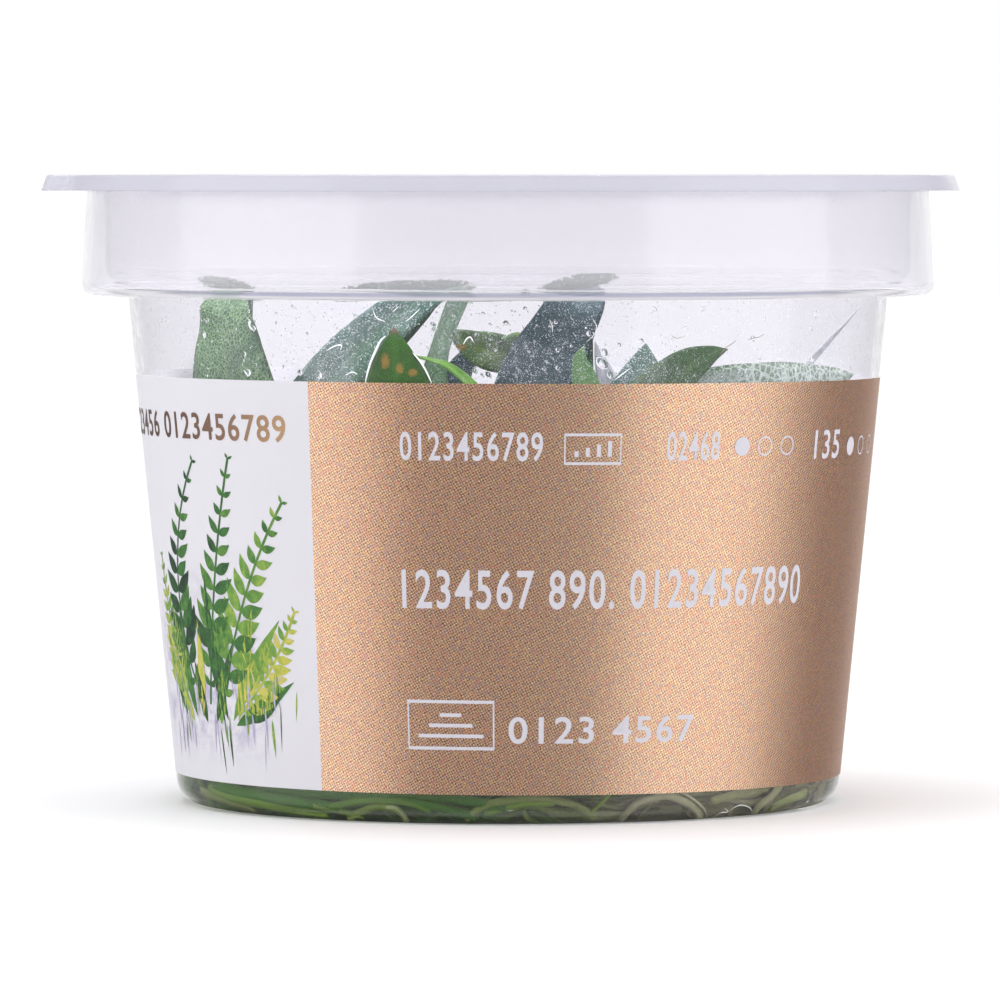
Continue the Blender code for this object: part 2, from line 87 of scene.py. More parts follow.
class Finish:  # a material, or the world, while its nodes are being made
    def __init__(self, name, library=bpy.data.materials):
        self.material = library.new(name)
        self.material.use_nodes = True
        self.tree = self.material.node_tree
        self.tree.nodes.clear()

    def node(self, kind, settings=None, sockets=None, out=0):
        made = self.tree.nodes.new("ShaderNode" + kind)
        for key, value in (settings or {}).items():
            if key == "stops":
                self.setStops(made.color_ramp, value)
            else:
                setattr(made, key, value)
        for key, value in (sockets or {}).items():
            if isinstance(value, Wire):
                self.tree.links.new(value.socket, made.inputs[key])
            else:
                made.inputs[key].default_value = value
        return Wire(self, made.outputs[out]) if made.outputs else None

    def setStops(self, ramp, stops):  # (place, colour) pairs
        while len(ramp.elements) < len(stops):
            ramp.elements.new(1.0)
        for element, (place, colour) in zip(ramp.elements, stops):
            element.position = place
            element.color = (*colour, 1.0)

    def ramp(self, value, stops):
        return self.node("ValToRGB", {"stops": stops}, {"Fac": value})

    def mixed(self, share, low, high):  # colours only
        low, high = (c if isinstance(c, Wire) else (*c, 1.0) for c in (low, high))
        return self.node("Mix", {"data_type": "RGBA"}, {0: share, 6: low, 7: high}, 2)

    def step(self, value, low, high):  # 0 below low, 1 above high, smooth between
        settings = {"interpolation_type": "SMOOTHSTEP"}
        return self.node("MapRange", settings, {"Value": value, "From Min": low, "From Max": high})

    def larger(self, one, other):
        return self.node("Math", {"operation": "MAXIMUM"}, {0: one, 1: other})

    def smaller(self, one, other):
        return self.node("Math", {"operation": "MINIMUM"}, {0: one, 1: other})

    def place(self):  # in metres
        return self.node("TexCoord", None, None, 3)

    def attribute(self, name):
        return self.node("Attribute", {"attribute_name": name}, None, 1)

    def parts(self, vector):
        first = self.node("SeparateXYZ", None, {0: vector})
        sockets = first.socket.node.outputs
        return [Wire(self, socket) for socket in sockets]

    def noise(self, vector, size, detail=2.0, roughness=0.5):  # size of its blotches in metres
        sockets = {"Vector": vector, "Scale": 1 / size, "Detail": detail, "Roughness": roughness}
        return self.node("TexNoise", None, sockets)

    def cells(self, vector, size, feature="F1"):  # how far to the middle of its cell, or to its edge
        return self.node("TexVoronoi", {"feature": feature}, {"Vector": vector, "Scale": 1 / size})

    def bump(self, height, depth):  # depth in metres for a height from 0 to 1
        return self.node("Bump", None, {"Height": height, "Distance": depth})

    def principled(self, sockets):
        sockets = {k: (*v, 1.0) if isinstance(v, tuple) and len(v) == 3 else v for k, v in sockets.items()}
        return self.node("BsdfPrincipled", None, sockets)

    def seen(self):  # 1 where the camera looks straight or through something clear
        rays = [self.node("LightPath", None, None, f"Is {ray} Ray") for ray in ("Camera", "Transmission")]
        return self.larger(*rays)

    def pane(self, shader):  # lamps shine through it
        clear = self.node("BsdfTransparent")
        lamp = self.node("LightPath", None, None, "Is Shadow Ray")
        return self.node("MixShader", None, {0: lamp, 1: shader, 2: clear})

    def done(self, shader):
        self.node("OutputMaterial", None, {"Surface": shader})
        return self.material


# Shapes

def smoothStep(t):
    t = min(max(t, 0.0), 1.0)
    return t * t * (3 - 2 * t)


def dimmed(colour, share):
    return tuple(value * share for value in colour)


def inMetres(spots):  # (x, y) points given in millimetres
    return [(x * mm, y * mm) for x, y in spots]


def heading(degrees):  # a level direction, from +X
    return Vector((math.cos(math.radians(degrees)), math.sin(math.radians(degrees)), 0.0))


def bend(start, knee, end, count=6):  # from start to end, leaving and arriving along the knee
    line = []
    for step in range(count + 1):
        t = step / count
        terms = zip(start, knee, end)
        line.append(tuple(a * (1 - t) ** 2 + 2 * b * t * (1 - t) + c * t**2 for a, b, c in terms))
    return line


def filleted(corners, count=3):  # (radius, height, fillet) corners of a closed outline
    line = []
    for index, (r, z, fillet) in enumerate(corners):
        here = Vector((r, z))
        if not fillet:
            line.append((r, z))
            continue
        before = Vector(corners[index - 1][:2])
        after = Vector(corners[(index + 1) % len(corners)][:2])
        start = here + (before - here).normalized() * fillet
        end = here + (after - here).normalized() * fillet
        line += bend(start, here, end, count)
    return line


def held(outline, hold=0.12 * mm):  # extra points by the ends of long spans keep them flat
    line = [outline[0]]
    for start, end in zip(outline, outline[1:]):
        span = Vector(end) - Vector(start)
        if span.length > 5 * hold:
            step = span * (hold / span.length)
            line += [tuple(Vector(start) + step), tuple(Vector(end) - step)]
        line.append(end)
    return line


def evenAzimuths(count):
    return [360 * step / count for step in range(count)]


def bands(rows):  # the faces between closed rows of points
    faces = []
    for low, high in zip(rows, rows[1:]):
        for a in range(len(low)):
            b = (a + 1) % len(low)
            faces.append((low[a], low[b], high[b], high[a]))
    return faces


def turned(name, outline, azimuths, radiusAt=None, zones=None):  # a mesh, with a material slot for each span
    verts, rows = [], []
    for r, z in outline:
        row = []
        for azimuth in azimuths:
            if r == 0 and row:
                row.append(row[0])
                continue
            radius = radiusAt(r, z, azimuth) if radiusAt else r
            row.append(len(verts))
            verts.append(heading(azimuth) * radius + Vector((0, 0, z)))
        rows.append(row)
    faces, slots = [], []
    for index, face in enumerate(bands(rows)):
        corners = list(dict.fromkeys(face))
        if len(corners) > 2:  # the spans that meet at the axis come to a point
            faces.append(corners)
            slots.append(zones[index // len(azimuths)] if zones else 0)
    mesh = bpy.data.meshes.new(name)
    mesh.from_pydata(verts, [], faces)
    mesh.polygons.foreach_set("material_index", slots)
    return mesh


def noted(mesh, attribute, vectors):  # keeps a vector at each point for the shader
    layer = mesh.attributes.new(attribute, "FLOAT_VECTOR", "POINT")
    layer.data.foreach_set("vector", [value for vector in vectors for value in vector])


def facedOut(mesh):
    shape = bmesh.new()
    shape.from_mesh(mesh)
    bmesh.ops.recalc_face_normals(shape, faces=shape.faces)
    shape.to_mesh(mesh)
    shape.free()


creaseAngle = 40  # degrees; sharper edges stay crisp


def piece(name, mesh, finishes, nodes=(), creased=False):
    made = bpy.data.objects.new(name, mesh)
    bpy.context.scene.collection.objects.link(made)
    for finish in finishes:
        mesh.materials.append(finish)
    mesh.shade_smooth()
    if creased:
        mesh.set_sharp_from_angle(angle=math.radians(creaseAngle))
    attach(made, "root")
    if nodes:
        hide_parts(*nodes)


def smoothLine(points, perSpan=8):  # through the points, the same number of steps in each span
    ends = [2 * points[0] - points[1], *points, 2 * points[-1] - points[-2]]
    line = []
    for before, start, end, after in zip(ends, ends[1:], ends[2:], ends[3:]):
        for step in range(perSpan):
            t = step / perSpan
            square = (2 * before - 5 * start + 4 * end - after) * t**2
            cube = (3 * start - before - 3 * end + after) * t**3
            line.append(0.5 * (2 * start + (end - before) * t + square + cube))
    return line + [points[-1]]


def evenly(line, count):  # count + 1 places at equal steps along the line
    lengths = [0.0]
    for start, end in zip(line, line[1:]):
        lengths.append(lengths[-1] + (end - start).length)
    places, span = [], 0
    for step in range(count + 1):
        goal = lengths[-1] * step / count
        while span < len(line) - 2 and lengths[span + 1] < goal:
            span += 1
        share = (goal - lengths[span]) / (lengths[span + 1] - lengths[span])
        places.append(line[span].lerp(line[span + 1], share))
    return places


class Builder:  # gathers rings into one mesh, with a vector for the shader at each point
    def __init__(self):
        self.verts, self.faces, self.notes = [], [], []

    def point(self, place, note=(0, 0, 0)):
        self.verts.append(place)
        self.notes.append(note)
        return len(self.verts) - 1

    def loft(self, rings):  # closed rings of (place, note), with both ends shut
        rows = [[self.point(*spot) for spot in ring] for ring in rings]
        self.faces += bands(rows)
        for row, way in ((rows[0], -1), (rows[-1], 1)):
            self.faces.append(row[::way])

    def tube(self, line, radii, sides, note):
        rings = []
        side = None
        for index, place in enumerate(line):
            ahead = line[min(index + 1, len(line) - 1)] - line[max(index - 1, 0)]
            ahead.normalize()
            side = side or ahead.orthogonal()
            side = (side - ahead * side.dot(ahead)).normalized()
            up = ahead.cross(side)
            ring = []
            for corner in range(sides):
                turn = 2 * math.pi * corner / sides
                spot = place + (side * math.cos(turn) + up * math.sin(turn)) * radii[index]
                ring.append((spot, note))
            rings.append(ring)
        self.loft(rings)

    def mesh(self, name, attribute=None):
        mesh = bpy.data.meshes.new(name)
        mesh.from_pydata(self.verts, [], self.faces)
        if attribute:
            noted(mesh, attribute, self.notes)
        return mesh


# Camera, lights and floor

cameraSizes = {"distance": 0.870, "height": 0.0671, "aside": -0.00087, "lookDown": 2.268, "lens": 288.1}
studio = {
    "backdrop": (1.0, 1.0, 1.0),  # straight ahead and through clear things
    "room": (0.25, 0.25, 0.26),  # what lights and mirrors the rest
    "backEdge": (0.80, 0.965),  # cosines of the angles over which the backdrop fades out
    "boxAngles": (-69, 66),  # degrees round from the camera
    "boxTarget": (0, 0, 0.035),
    "boxDistance": 0.9,
    "boxSize": (0.98, 1.0),
    "boxPower": 3.6,
    "boxHeight": 0.16,
    "skyPower": 2.75,
    "skyAngle": 80,  # degrees across, so its shadows are soft
    "bounces": 32,  # through all the layers of plastic
    "floorRadius": 4.0,
    "floorColour": (0.93, 0.93, 0.935),
    "floorShade": 0.985,  # of its faint grain
    "floorGrain": 0.02,
    "floorRough": 0.7,
    "floorMirror": (0.90, 0.90, 0.91),  # what the label sees of it: a glossy table
    "floorGloss": 0.18,
}


def makeCamera():
    data = bpy.data.cameras.new("camera")
    data.lens = cameraSizes["lens"]
    data.sensor_width = 36.0
    camera = bpy.data.objects.new("camera", data)
    camera.location = (cameraSizes["aside"], -cameraSizes["distance"], cameraSizes["height"])
    camera.rotation_euler = (math.radians(90 - cameraSizes["lookDown"]), 0, 0)
    bpy.context.scene.collection.objects.link(camera)
    bpy.context.scene.camera = camera


def makeSoftbox(name, place):
    data = bpy.data.lights.new(name, "AREA")
    data.shape = "RECTANGLE"
    data.size, data.size_y = studio["boxSize"]
    data.energy = studio["boxPower"]
    box = bpy.data.objects.new(name, data)
    box.location = place
    box.rotation_euler = (Vector(studio["boxTarget"]) - place).to_track_quat("-Z", "Y").to_euler()
    box.visible_camera = False
    bpy.context.scene.collection.objects.link(box)


def makeStudio():
    scene = bpy.context.scene
    scene.view_settings.view_transform = "Standard"
    scene.cycles.max_bounces = scene.cycles.transmission_bounces = studio["bounces"]
    scene.cycles.transparent_max_bounces = studio["bounces"]
    room = Finish("studio", bpy.data.worlds)
    behind = room.parts(room.node("TexCoord"))[1]
    colour = room.mixed(room.step(behind, *studio["backEdge"]), studio["room"], studio["backdrop"])
    colour = room.mixed(room.seen(), colour, studio["backdrop"])
    room.node("OutputWorld", None, {"Surface": room.node("Background", None, {"Color": colour})})
    scene.world = room.material
    for number, angle in enumerate(studio["boxAngles"], 1):
        place = heading(angle - 90) * studio["boxDistance"]
        place.z = studio["boxHeight"]
        makeSoftbox(f"softbox{number}", place)
    data = bpy.data.lights.new("sky", "SUN")
    data.energy = studio["skyPower"]
    data.angle = math.radians(studio["skyAngle"])
    scene.collection.objects.link(bpy.data.objects.new("sky", data))


def makeFloor():
    outline = [(0, 0), (studio["floorRadius"], 0)]
    floor = bpy.data.objects.new("floor", turned("floor", outline, evenAzimuths(96)))
    bpy.context.scene.collection.objects.link(floor)
    finish = Finish("paleFloor")
    grain = finish.noise(finish.place(), studio["floorGrain"])
    colour = finish.mixed(grain, studio["floorColour"], dimmed(studio["floorColour"], studio["floorShade"]))
    bright = finish.principled({"Base Color": colour, "Roughness": studio["floorRough"]})
    glossy = {"Base Color": studio["floorMirror"], "Roughness": studio["floorGloss"], "Metallic": 1.0}
    dim = finish.principled(glossy)
    shader = finish.node("MixShader", None, {0: finish.seen(), 1: dim, 2: bright})
    floor.data.materials.append(finish.done(shader))
    floor.data.shade_smooth()


# Clear plastic

plasticLook = {
    "flowDepth": 0.006 * mm,  # faint waves left by moulding
    "flowSize": 12 * mm,
    "scuffSize": 4 * mm,  # patches where it is a little rougher
    "coatRoughness": 0.12,
    "shadeLineFade": (0.36, 0.58),  # how far from facing the eye its painted shade line fades out
}
plastics = {  # milk: the share that scatters; edge: tint where seen edge on; lines: height, reach and colour of painted shade lines
    "cupPlastic": {
        "tint": (0.915, 0.905, 0.935), "milk": 0.004, "rough": 0.01, "ior": 1.06, "edge": 0.93, "coat": 0.6,
    },
    "collarPlastic": {
        "tint": (0.915, 0.905, 0.935), "milk": 0.26, "rough": 0.1, "ior": 1.03, "edge": 0.88, "coat": 0.6,
        # painted shade lines under the flange and above the ledge
        "lines": ((0.0661, 0.0008, (0.80, 0.79, 0.83)), (0.0564, 0.0009, (0.842, 0.833, 0.86))),
    },
    "flangePlastic": {
        "tint": (0.87, 0.86, 0.89), "milk": 0.30, "rough": 0.1, "ior": 1.04, "edge": 0.9, "coat": 0.6,
    },
    "ledgePlastic": {
        "tint": (0.93, 0.925, 0.95), "milk": 0.6, "rough": 0.1, "ior": 1.06, "edge": 0.95, "coat": 0.2,
        # a painted shade line along the ledge
        "lines": ((0.05555, 0.00048, (0.47, 0.48, 0.60)),),
    },
    "lidPlastic": {
        "tint": (0.885, 0.877, 0.895), "milk": 0.02, "rough": 0.1, "ior": 1.03, "edge": 0.9, "coat": 0.3,
    },
    "lidRimPlastic": {
        "tint": (0.73, 0.72, 0.80), "milk": 0.85, "rough": 0.2, "ior": 1.04, "edge": 0.9, "coat": 0.6,
    },
    "panelPlastic": {
        "tint": (0.99, 0.988, 0.995), "milk": 0.0, "rough": 0.02, "ior": 1.005, "edge": 1.0, "coat": 0.05,
    },
}


def clearPlastic(name):
    look = plastics[name]
    finish = Finish(name)
    place = finish.place()
    flow = finish.noise(place, plasticLook["flowSize"], 1.0)
    aslant = finish.node("LayerWeight", None, {"Blend": 0.5}, "Facing")  # 0 facing the eye, 1 edge on
    tint = finish.mixed(aslant**2.0, look["tint"], dimmed(look["tint"], look["edge"]))
    for height, reach, colour in look.get("lines", ()):  # painted shade: darker bands in the tint at these heights, where light runs the long way through the plastic
        far = abs((finish.parts(place)[2] - height) / reach)
        share = (1 - finish.step(far, 0.15, 1.0)) * (1 - finish.step(aslant, *plasticLook["shadeLineFade"]))
        tint = finish.mixed(share, tint, colour)
    sockets = {
        "Base Color": tint,
        "Roughness": look["rough"] * (0.6 + 0.8 * finish.noise(place, plasticLook["scuffSize"], 3.0)),
        "IOR": look["ior"],
        "Transmission Weight": 1 - look["milk"],
        "Coat Weight": look["coat"],
        "Coat Roughness": plasticLook["coatRoughness"],
        "Normal": finish.bump(flow, plasticLook["flowDepth"]),
    }
    return finish.done(finish.pane(finish.principled(sockets)))


# Cup

cup = {
    "wall": 0.9 * mm,
    "foot": 0.35 * mm,  # of its base
    "footRadius": 33.3 * mm,  # flat base, inside its rounded corner
    "heelRadius": 36.1 * mm,
    "heelHeight": 3.2 * mm,
    "neckRadius": 41.2 * mm,
    "shoulderHeight": 55.0 * mm,
    "collarLowRadius": 46.2 * mm,
    "collarTopRadius": 45.65 * mm,
    "collarCorner": 1.4 * mm,
    "ledgeCorner": 0.5 * mm,
    "flangeRadius": 47.7 * mm,
    "flangeUnder": 66.3 * mm,
    "flangeTop": 67.2 * mm,
    "edge": 0.15 * mm,  # of its small rounded edges
    "azimuths": 288,
    "wallSteps": 14,  # up its tapered wall
    "arcSteps": {"foot": 8, "heel": 10, "neck": 3, "collar": 8, "ledge": 6},  # round its corners
}


def wallRadius(z):  # outside of the tapered wall
    share = (z - cup["heelHeight"]) / (cup["shoulderHeight"] - cup["heelHeight"])
    return cup["heelRadius"] + share * (cup["neckRadius"] - cup["heelRadius"])


def cupOutlines():  # outside from the base's middle up, inside from the flange down
    wall, edge = cup["wall"], cup["edge"]
    heel = (wallRadius(cup["heelHeight"]), cup["heelHeight"])
    shoulder, corner = cup["shoulderHeight"], cup["collarCorner"]
    low, top = cup["collarLowRadius"], cup["collarTopRadius"]
    steps, arcs = cup["wallSteps"], cup["arcSteps"]
    outside = [(0, 0)] + bend((cup["footRadius"], 0), (heel[0], 0), heel, arcs["heel"])
    for step in range(1, steps):
        z = heel[1] + (shoulder - heel[1]) * step / steps
        outside.append((wallRadius(z), z))
    under, beside = (wallRadius(shoulder - edge), shoulder - edge), (cup["neckRadius"] + edge, shoulder)
    outside += bend(under, (cup["neckRadius"], shoulder), beside, arcs["neck"])
    outside += bend((low - corner, shoulder), (low, shoulder), (low, shoulder + corner), arcs["collar"])
    rim = [(top, cup["flangeUnder"], edge), (cup["flangeRadius"], cup["flangeUnder"], edge)]
    rim += [(cup["flangeRadius"], cup["flangeTop"], edge), (top - wall, cup["flangeTop"], 2 * edge)]
    inner = cup["ledgeCorner"]
    ends = [(low, shoulder + corner, 0)] + rim + [(low - wall, shoulder + wall + inner, 0)]
    outside += filleted(ends)[1:-1]
    ledge = shoulder + wall
    lowIn, neck = low - wall, wallRadius(ledge) - wall
    inside = bend((lowIn, ledge + inner), (lowIn, ledge), (lowIn - inner, ledge), arcs["ledge"])
    below = (wallRadius(ledge - 2 * edge) - wall, ledge - 2 * edge)
    inside += bend((neck + 2 * edge, ledge), (neck, ledge), below, arcs["neck"])
    inside.append((wallRadius(shoulder) - wall, shoulder))
    bottom = (heel[0] - wall, heel[1] + wall / 2)
    for step in range(1, steps):
        z = ledge - (ledge - bottom[1]) * step / steps
        inside.append((wallRadius(z) - wall, z))
    foot = cup["foot"]
    inside += bend(bottom, (bottom[0], foot), (cup["footRadius"] - wall, foot), arcs["foot"]) + [(0, foot)]
    return outside, inside


def makeCup():
    outside, inside = cupOutlines()
    outline = held(outside + inside)
    zones = []  # 0 its wall, 1 its collar, 2 its flange, 3 the ledge's underside
    for start, end in zip(outline, outline[1:]):
        z = (start[1] + end[1]) / 2 - cup["shoulderHeight"]
        zone = int(z > -cup["edge"]) + int(z > cup["flangeUnder"] - cup["shoulderHeight"])
        if zone == 1 and start[0] > cup["neckRadius"] and end[0] > start[0] and z < cup["wall"]:
            zone = 3
        zones.append(zone)
    mesh = turned("cup", outline, evenAzimuths(cup["azimuths"]), zones=zones)
    facedOut(mesh)
    names = ("cupPlastic", "collarPlastic", "flangePlastic", "ledgePlastic")
    piece("cupBody", mesh, [clearPlastic(name) for name in names], ["cup"], creased=True)


# Lid

lid = {
    "sheet": 0.5 * mm,
    "top": 68.0 * mm,
    "rimTopRadius": 48.4 * mm,
    "rimLowRadius": 49.0 * mm,
    "rimLow": 66.3 * mm,
    "plugRadius": 43.7 * mm,
    "plugFoot": 56.2 * mm,
    "panelRadius": 39.8 * mm,
    "panelUnder": 57.2 * mm,
    "beadRadius": 44.0 * mm,
    "beadHeight": 65.7 * mm,
    "beadTall": 1.4 * mm,
    "tabReach": 50.15 * mm,
    "tabHalf": 12.0 * mm,
    "tabCorner": 2.2 * mm,
    "tabBlend": 1.0 * mm,  # into the round rim
    "ribAzimuth": -39.5,  # a small upright rib in the plug's wall
    "ribHalf": 0.9,  # degrees
    "ribDepth": 0.25 * mm,
    "edge": 0.18 * mm,
    "azimuths": 288,
    "tabAzimuths": (9, 0.2, 40),  # extra ones over its corners: degrees from its middle, step and count
    "ribAzimuths": (0.15, 8),  # and over the rib: step, and count each side
}


def tabRadius(azimuth, inset=0.0):  # from the axis to the pull tab's outline, or nothing beside it
    reach, half = lid["tabReach"] - inset, lid["tabHalf"] - inset
    corner = lid["tabCorner"]
    ray = heading(azimuth)
    if ray.x > -0.5:  # well away from the tab
        return 0.0
    side = abs(ray.y)
    radius = min(reach / -ray.x, half / max(side, 1e-6))
    spot = Vector((-ray.x * radius, side * radius))
    middle = Vector((reach - corner, half - corner))
    if spot.x > middle.x and spot.y > middle.y:
        along = Vector((-ray.x, side))
        across = abs(along.x * middle.y - along.y * middle.x)
        if across < corner:
            radius = along.dot(middle) + math.sqrt(corner**2 - across**2)
    return radius


def lidRadius(r, z, azimuth):
    if r > lid["rimTopRadius"] - lid["edge"] - lid["sheet"]:
        inset = lid["rimLowRadius"] - r
        reach = tabRadius(azimuth, inset)
        soft = max(lid["tabBlend"] - abs(r - reach), 0.0) / lid["tabBlend"]
        return max(r, reach) + lid["tabBlend"] / 4 * soft**2
    turn = abs((azimuth - lid["ribAzimuth"] + 180) % 360 - 180)
    if lid["plugRadius"] - 2 * lid["sheet"] < r < lid["beadRadius"] and z < lid["top"] - lid["sheet"]:
        return r + lid["ribDepth"] * (1 - smoothStep(turn / lid["ribHalf"]))
    return r


def makeLid():
    sheet, edge = lid["sheet"], lid["edge"]
    panelTop = lid["panelUnder"] + sheet
    plug, plugIn, groove = lid["plugRadius"], lid["plugRadius"] - sheet, lid["panelRadius"] + sheet
    foot, top = lid["plugFoot"], lid["top"]
    beadLow, beadTop = (lid["beadHeight"] + lid["beadTall"] * share for share in (-0.5, 0.5))
    corners = [(0, panelTop, 0), (groove, panelTop, edge), (groove + sheet, foot + sheet, edge)]
    corners += [(plugIn - sheet, foot + sheet, edge), (plugIn, panelTop, edge), (plugIn, top, edge)]
    corners += [(lid["rimTopRadius"], top, edge), (lid["rimLowRadius"], lid["rimLow"], edge / 2)]
    corners += [(lid["rimLowRadius"] - sheet, lid["rimLow"], edge / 2)]
    corners += [(lid["rimTopRadius"] - sheet, top - sheet, edge), (plug, top - sheet, edge)]
    corners += [(plug, beadTop, edge), (lid["beadRadius"], lid["beadHeight"], edge * 2)]
    corners += [(plug, beadLow, edge)]
    corners += [(plug, lid["panelUnder"] + sheet / 2, edge), (plug - 2 * sheet, foot, edge)]
    corners += [(lid["panelRadius"] + sheet, foot, edge), (lid["panelRadius"], lid["panelUnder"], edge)]
    corners += [(0, lid["panelUnder"], 0)]
    outline = held(filleted(corners))
    zones = []  # 0 its plug, 1 its rim, 2 its panel
    for start, end in zip(outline, outline[1:]):
        zone = int(start[1] + end[1] > 2 * lid["rimLow"] and start[0] + end[0] > 2 * lid["beadRadius"])
        zones.append(2 if start[0] + end[0] < 2 * plugIn - sheet else zone)
    azimuths = evenAzimuths(lid["azimuths"])
    first, turn, count = lid["tabAzimuths"]
    azimuths += [180 + side * (first + step * turn) for side in (-1, 1) for step in range(count)]
    turn, count = lid["ribAzimuths"]
    azimuths += [360 + lid["ribAzimuth"] + step * turn for step in range(-count, count + 1)]
    azimuths = sorted(set(round(a % 360, 3) for a in azimuths))
    mesh = turned("lid", outline, azimuths, lidRadius, zones)
    facedOut(mesh)
    finishes = [clearPlastic(name) for name in ("lidPlastic", "lidRimPlastic", "panelPlastic")]
    piece("lidBody", mesh, finishes, ["lid"], creased=True)


# Label

label = {
    "low": 3.2 * mm,
    "top": 46.3 * mm,
    "lift": 0.02 * mm,  # over the cup's wall
    "sheet": 0.07 * mm,
    "seam": 2.3,  # degrees each side of the back's middle
    "goldFrom": 238.0,  # bearing of the edge between its white and gold panels
    "goldLean": 0.024,  # of that edge, from upright
    "askew": 0.0042,  # fall of its edges from -X to +X
    "middleRadius": 38.5 * mm,
    "white": (0.92, 0.90, 0.95),
    "inside": (0.97, 0.96, 0.99),
    "paintedGlow": 0.24,  # painted light: its inside gives off white light, standing in for light through the film
    "gold": ((0.96, 0.80, 0.58), (0.64, 0.30, 0.17), (0.11, 0.035, 0.025)),
    "stray": ((0.95, 0.62, 0.26), (0.52, 0.36, 0.40), (0.82, 0.36, 0.27)),  # patches of other inks
    "lilac": (0.46, 0.40, 0.62),  # a wash of paint at the white panel's foot
    "lilacShare": 0.75,
    "lilacAcross": (-36 * mm, -29 * mm, -12 * mm, -4 * mm),  # where it starts, is full, fades and ends
    "lilacUp": (4 * mm, 11 * mm, 15 * mm, 30 * mm),
    "screen": 0.28 * mm,  # pitch of the printed dots
    "screenTurns": (28, 73),  # degrees, of the dots and of the holes between them
    "stir": 0.30 * mm,  # how far they stray
    "rows": 12,
    "columns": 300,
    "shadeSpan": 75 * mm,
    "shades": (  # painted shade and highlight: share of dark ink by place, across that span from the gold's edge; more where the gold turns away from the lights, least in the bands that face them
        (0.0, 0.15), (0.06, 0.35), (0.14, 0.62), (0.30, 0.50), (0.37, 0.30), (0.47, 0.08), (0.60, 0.05),
        (0.67, 0.25), (0.76, 0.50), (0.83, 1.0), (1.0, 1.0),
    ),
}


def makeLabel():
    start, end = 90 + label["seam"], 450 - label["seam"]
    builder = Builder()
    rings = []
    for step in range(label["columns"] + 1):
        bearing = start + (end - start) * step / label["columns"]
        way = heading(bearing)
        across = math.radians(bearing - label["goldFrom"]) * label["middleRadius"]
        ring = []
        for side, order in ((1, 1), (0, -1)):
            for row in range(label["rows"] + 1)[::order]:
                z = label["low"] + (label["top"] - label["low"]) * row / label["rows"]
                radius = wallRadius(z) + label["lift"] + label["sheet"] * side
                drop = label["askew"] * way.x * radius
                ring.append((way * radius + Vector((0, 0, z - drop)), (across, z, side)))
        rings.append(ring)
    builder.loft(rings)
    mesh = builder.mesh("label", "wrap")
    facedOut(mesh)
    piece("labelFilm", mesh, [labelFinish()], ["label"], creased=True)


def dotScreen(across, up, degrees, pitch):  # 1 in the middle of each printed dot
    turn = math.radians(degrees)
    along = (across * math.cos(turn) + up * math.sin(turn)) * (2 * math.pi / pitch)
    aside = (up * math.cos(turn) - across * math.sin(turn)) * (2 * math.pi / pitch)
    return 0.5 + 0.25 * (along.maths("COSINE", along) + aside.maths("COSINE", aside))


def between(finish, value, spots):  # 1 in the middle of four places, fading to 0 at the first and last
    return finish.step(value, *spots[:2]) * (1 - finish.step(value, *spots[2:]))


def labelFinish():
    finish = Finish("labelFilm")
    across, up, outer = finish.parts(finish.attribute("wrap"))
    leaning = across - label["goldLean"] * (up - 0.025)
    isGold = finish.step(leaning, -0.04 * mm, 0.04 * mm) * finish.step(outer, 0.4, 0.6)
    light, middle, dark = label["gold"]
    place = finish.place()
    stir = [label["stir"] * (finish.noise(place, 0.0004 + 0.0002 * way, 1.0) - 0.5) for way in (0, 1)]
    dotTurn, holeTurn = label["screenTurns"]
    dots = dotScreen(across + stir[0], up + stir[1], dotTurn, label["screen"])
    holes = dotScreen(across - stir[1], up + stir[0], holeTurn, label["screen"])
    # painted shade and highlight: the dark ink share follows where the gold lies in shade and where it faces
    # the lights
    stops = [(spot, (value,) * 3) for spot, value in label["shades"]]
    shade = finish.ramp(across / label["shadeSpan"], stops)
    gold = finish.mixed(finish.step(dots + 0.2 * (0.4 - shade), 0.40, 0.72), middle, light)
    gold = finish.mixed(finish.step(1 - dots, 0.55, 0.85) * (0.40 + 0.5 * shade), gold, dark)
    gold = finish.mixed(finish.step(holes, 0.5, 0.9) * (0.12 + 0.40 * shade), gold, dark)
    for number, stray in enumerate(label["stray"]):
        hue = finish.noise(place, 0.00028 + 0.00008 * number, 1.0, 0.7)
        gold = finish.mixed(0.5 * finish.step(hue, 0.50, 0.66), gold, stray)
    paper = finish.mixed(finish.noise(place, 6 * mm), label["white"], dimmed(label["white"], 0.97))
    wash = finish.step(finish.noise(place, 3 * mm, 5.0, 0.75), 0.40, 0.68)
    wash = wash * between(finish, up, label["lilacUp"]) * between(finish, across, label["lilacAcross"])
    paper = finish.mixed(label["lilacShare"] * wash, paper, label["lilac"])
    colour = finish.mixed(isGold, paper, gold)
    colour = finish.mixed(outer, label["inside"], colour)
    sockets = {
        "Base Color": colour,
        "Roughness": 0.55 - 0.14 * isGold,
        "Metallic": 0.85 * isGold,
        "Normal": finish.bump(finish.noise(place, 0.6 * mm), 0.008 * mm),
        # painted light: the film's inside gives off white light, though it is no lamp
        "Emission Color": finish.mixed(outer, (1.0, 1.0, 1.0), (0.0, 0.0, 0.0)),
        "Emission Strength": label["paintedGlow"],
    }
    return finish.done(finish.principled(sockets))


# Prints on the label: plain numbers and shapes

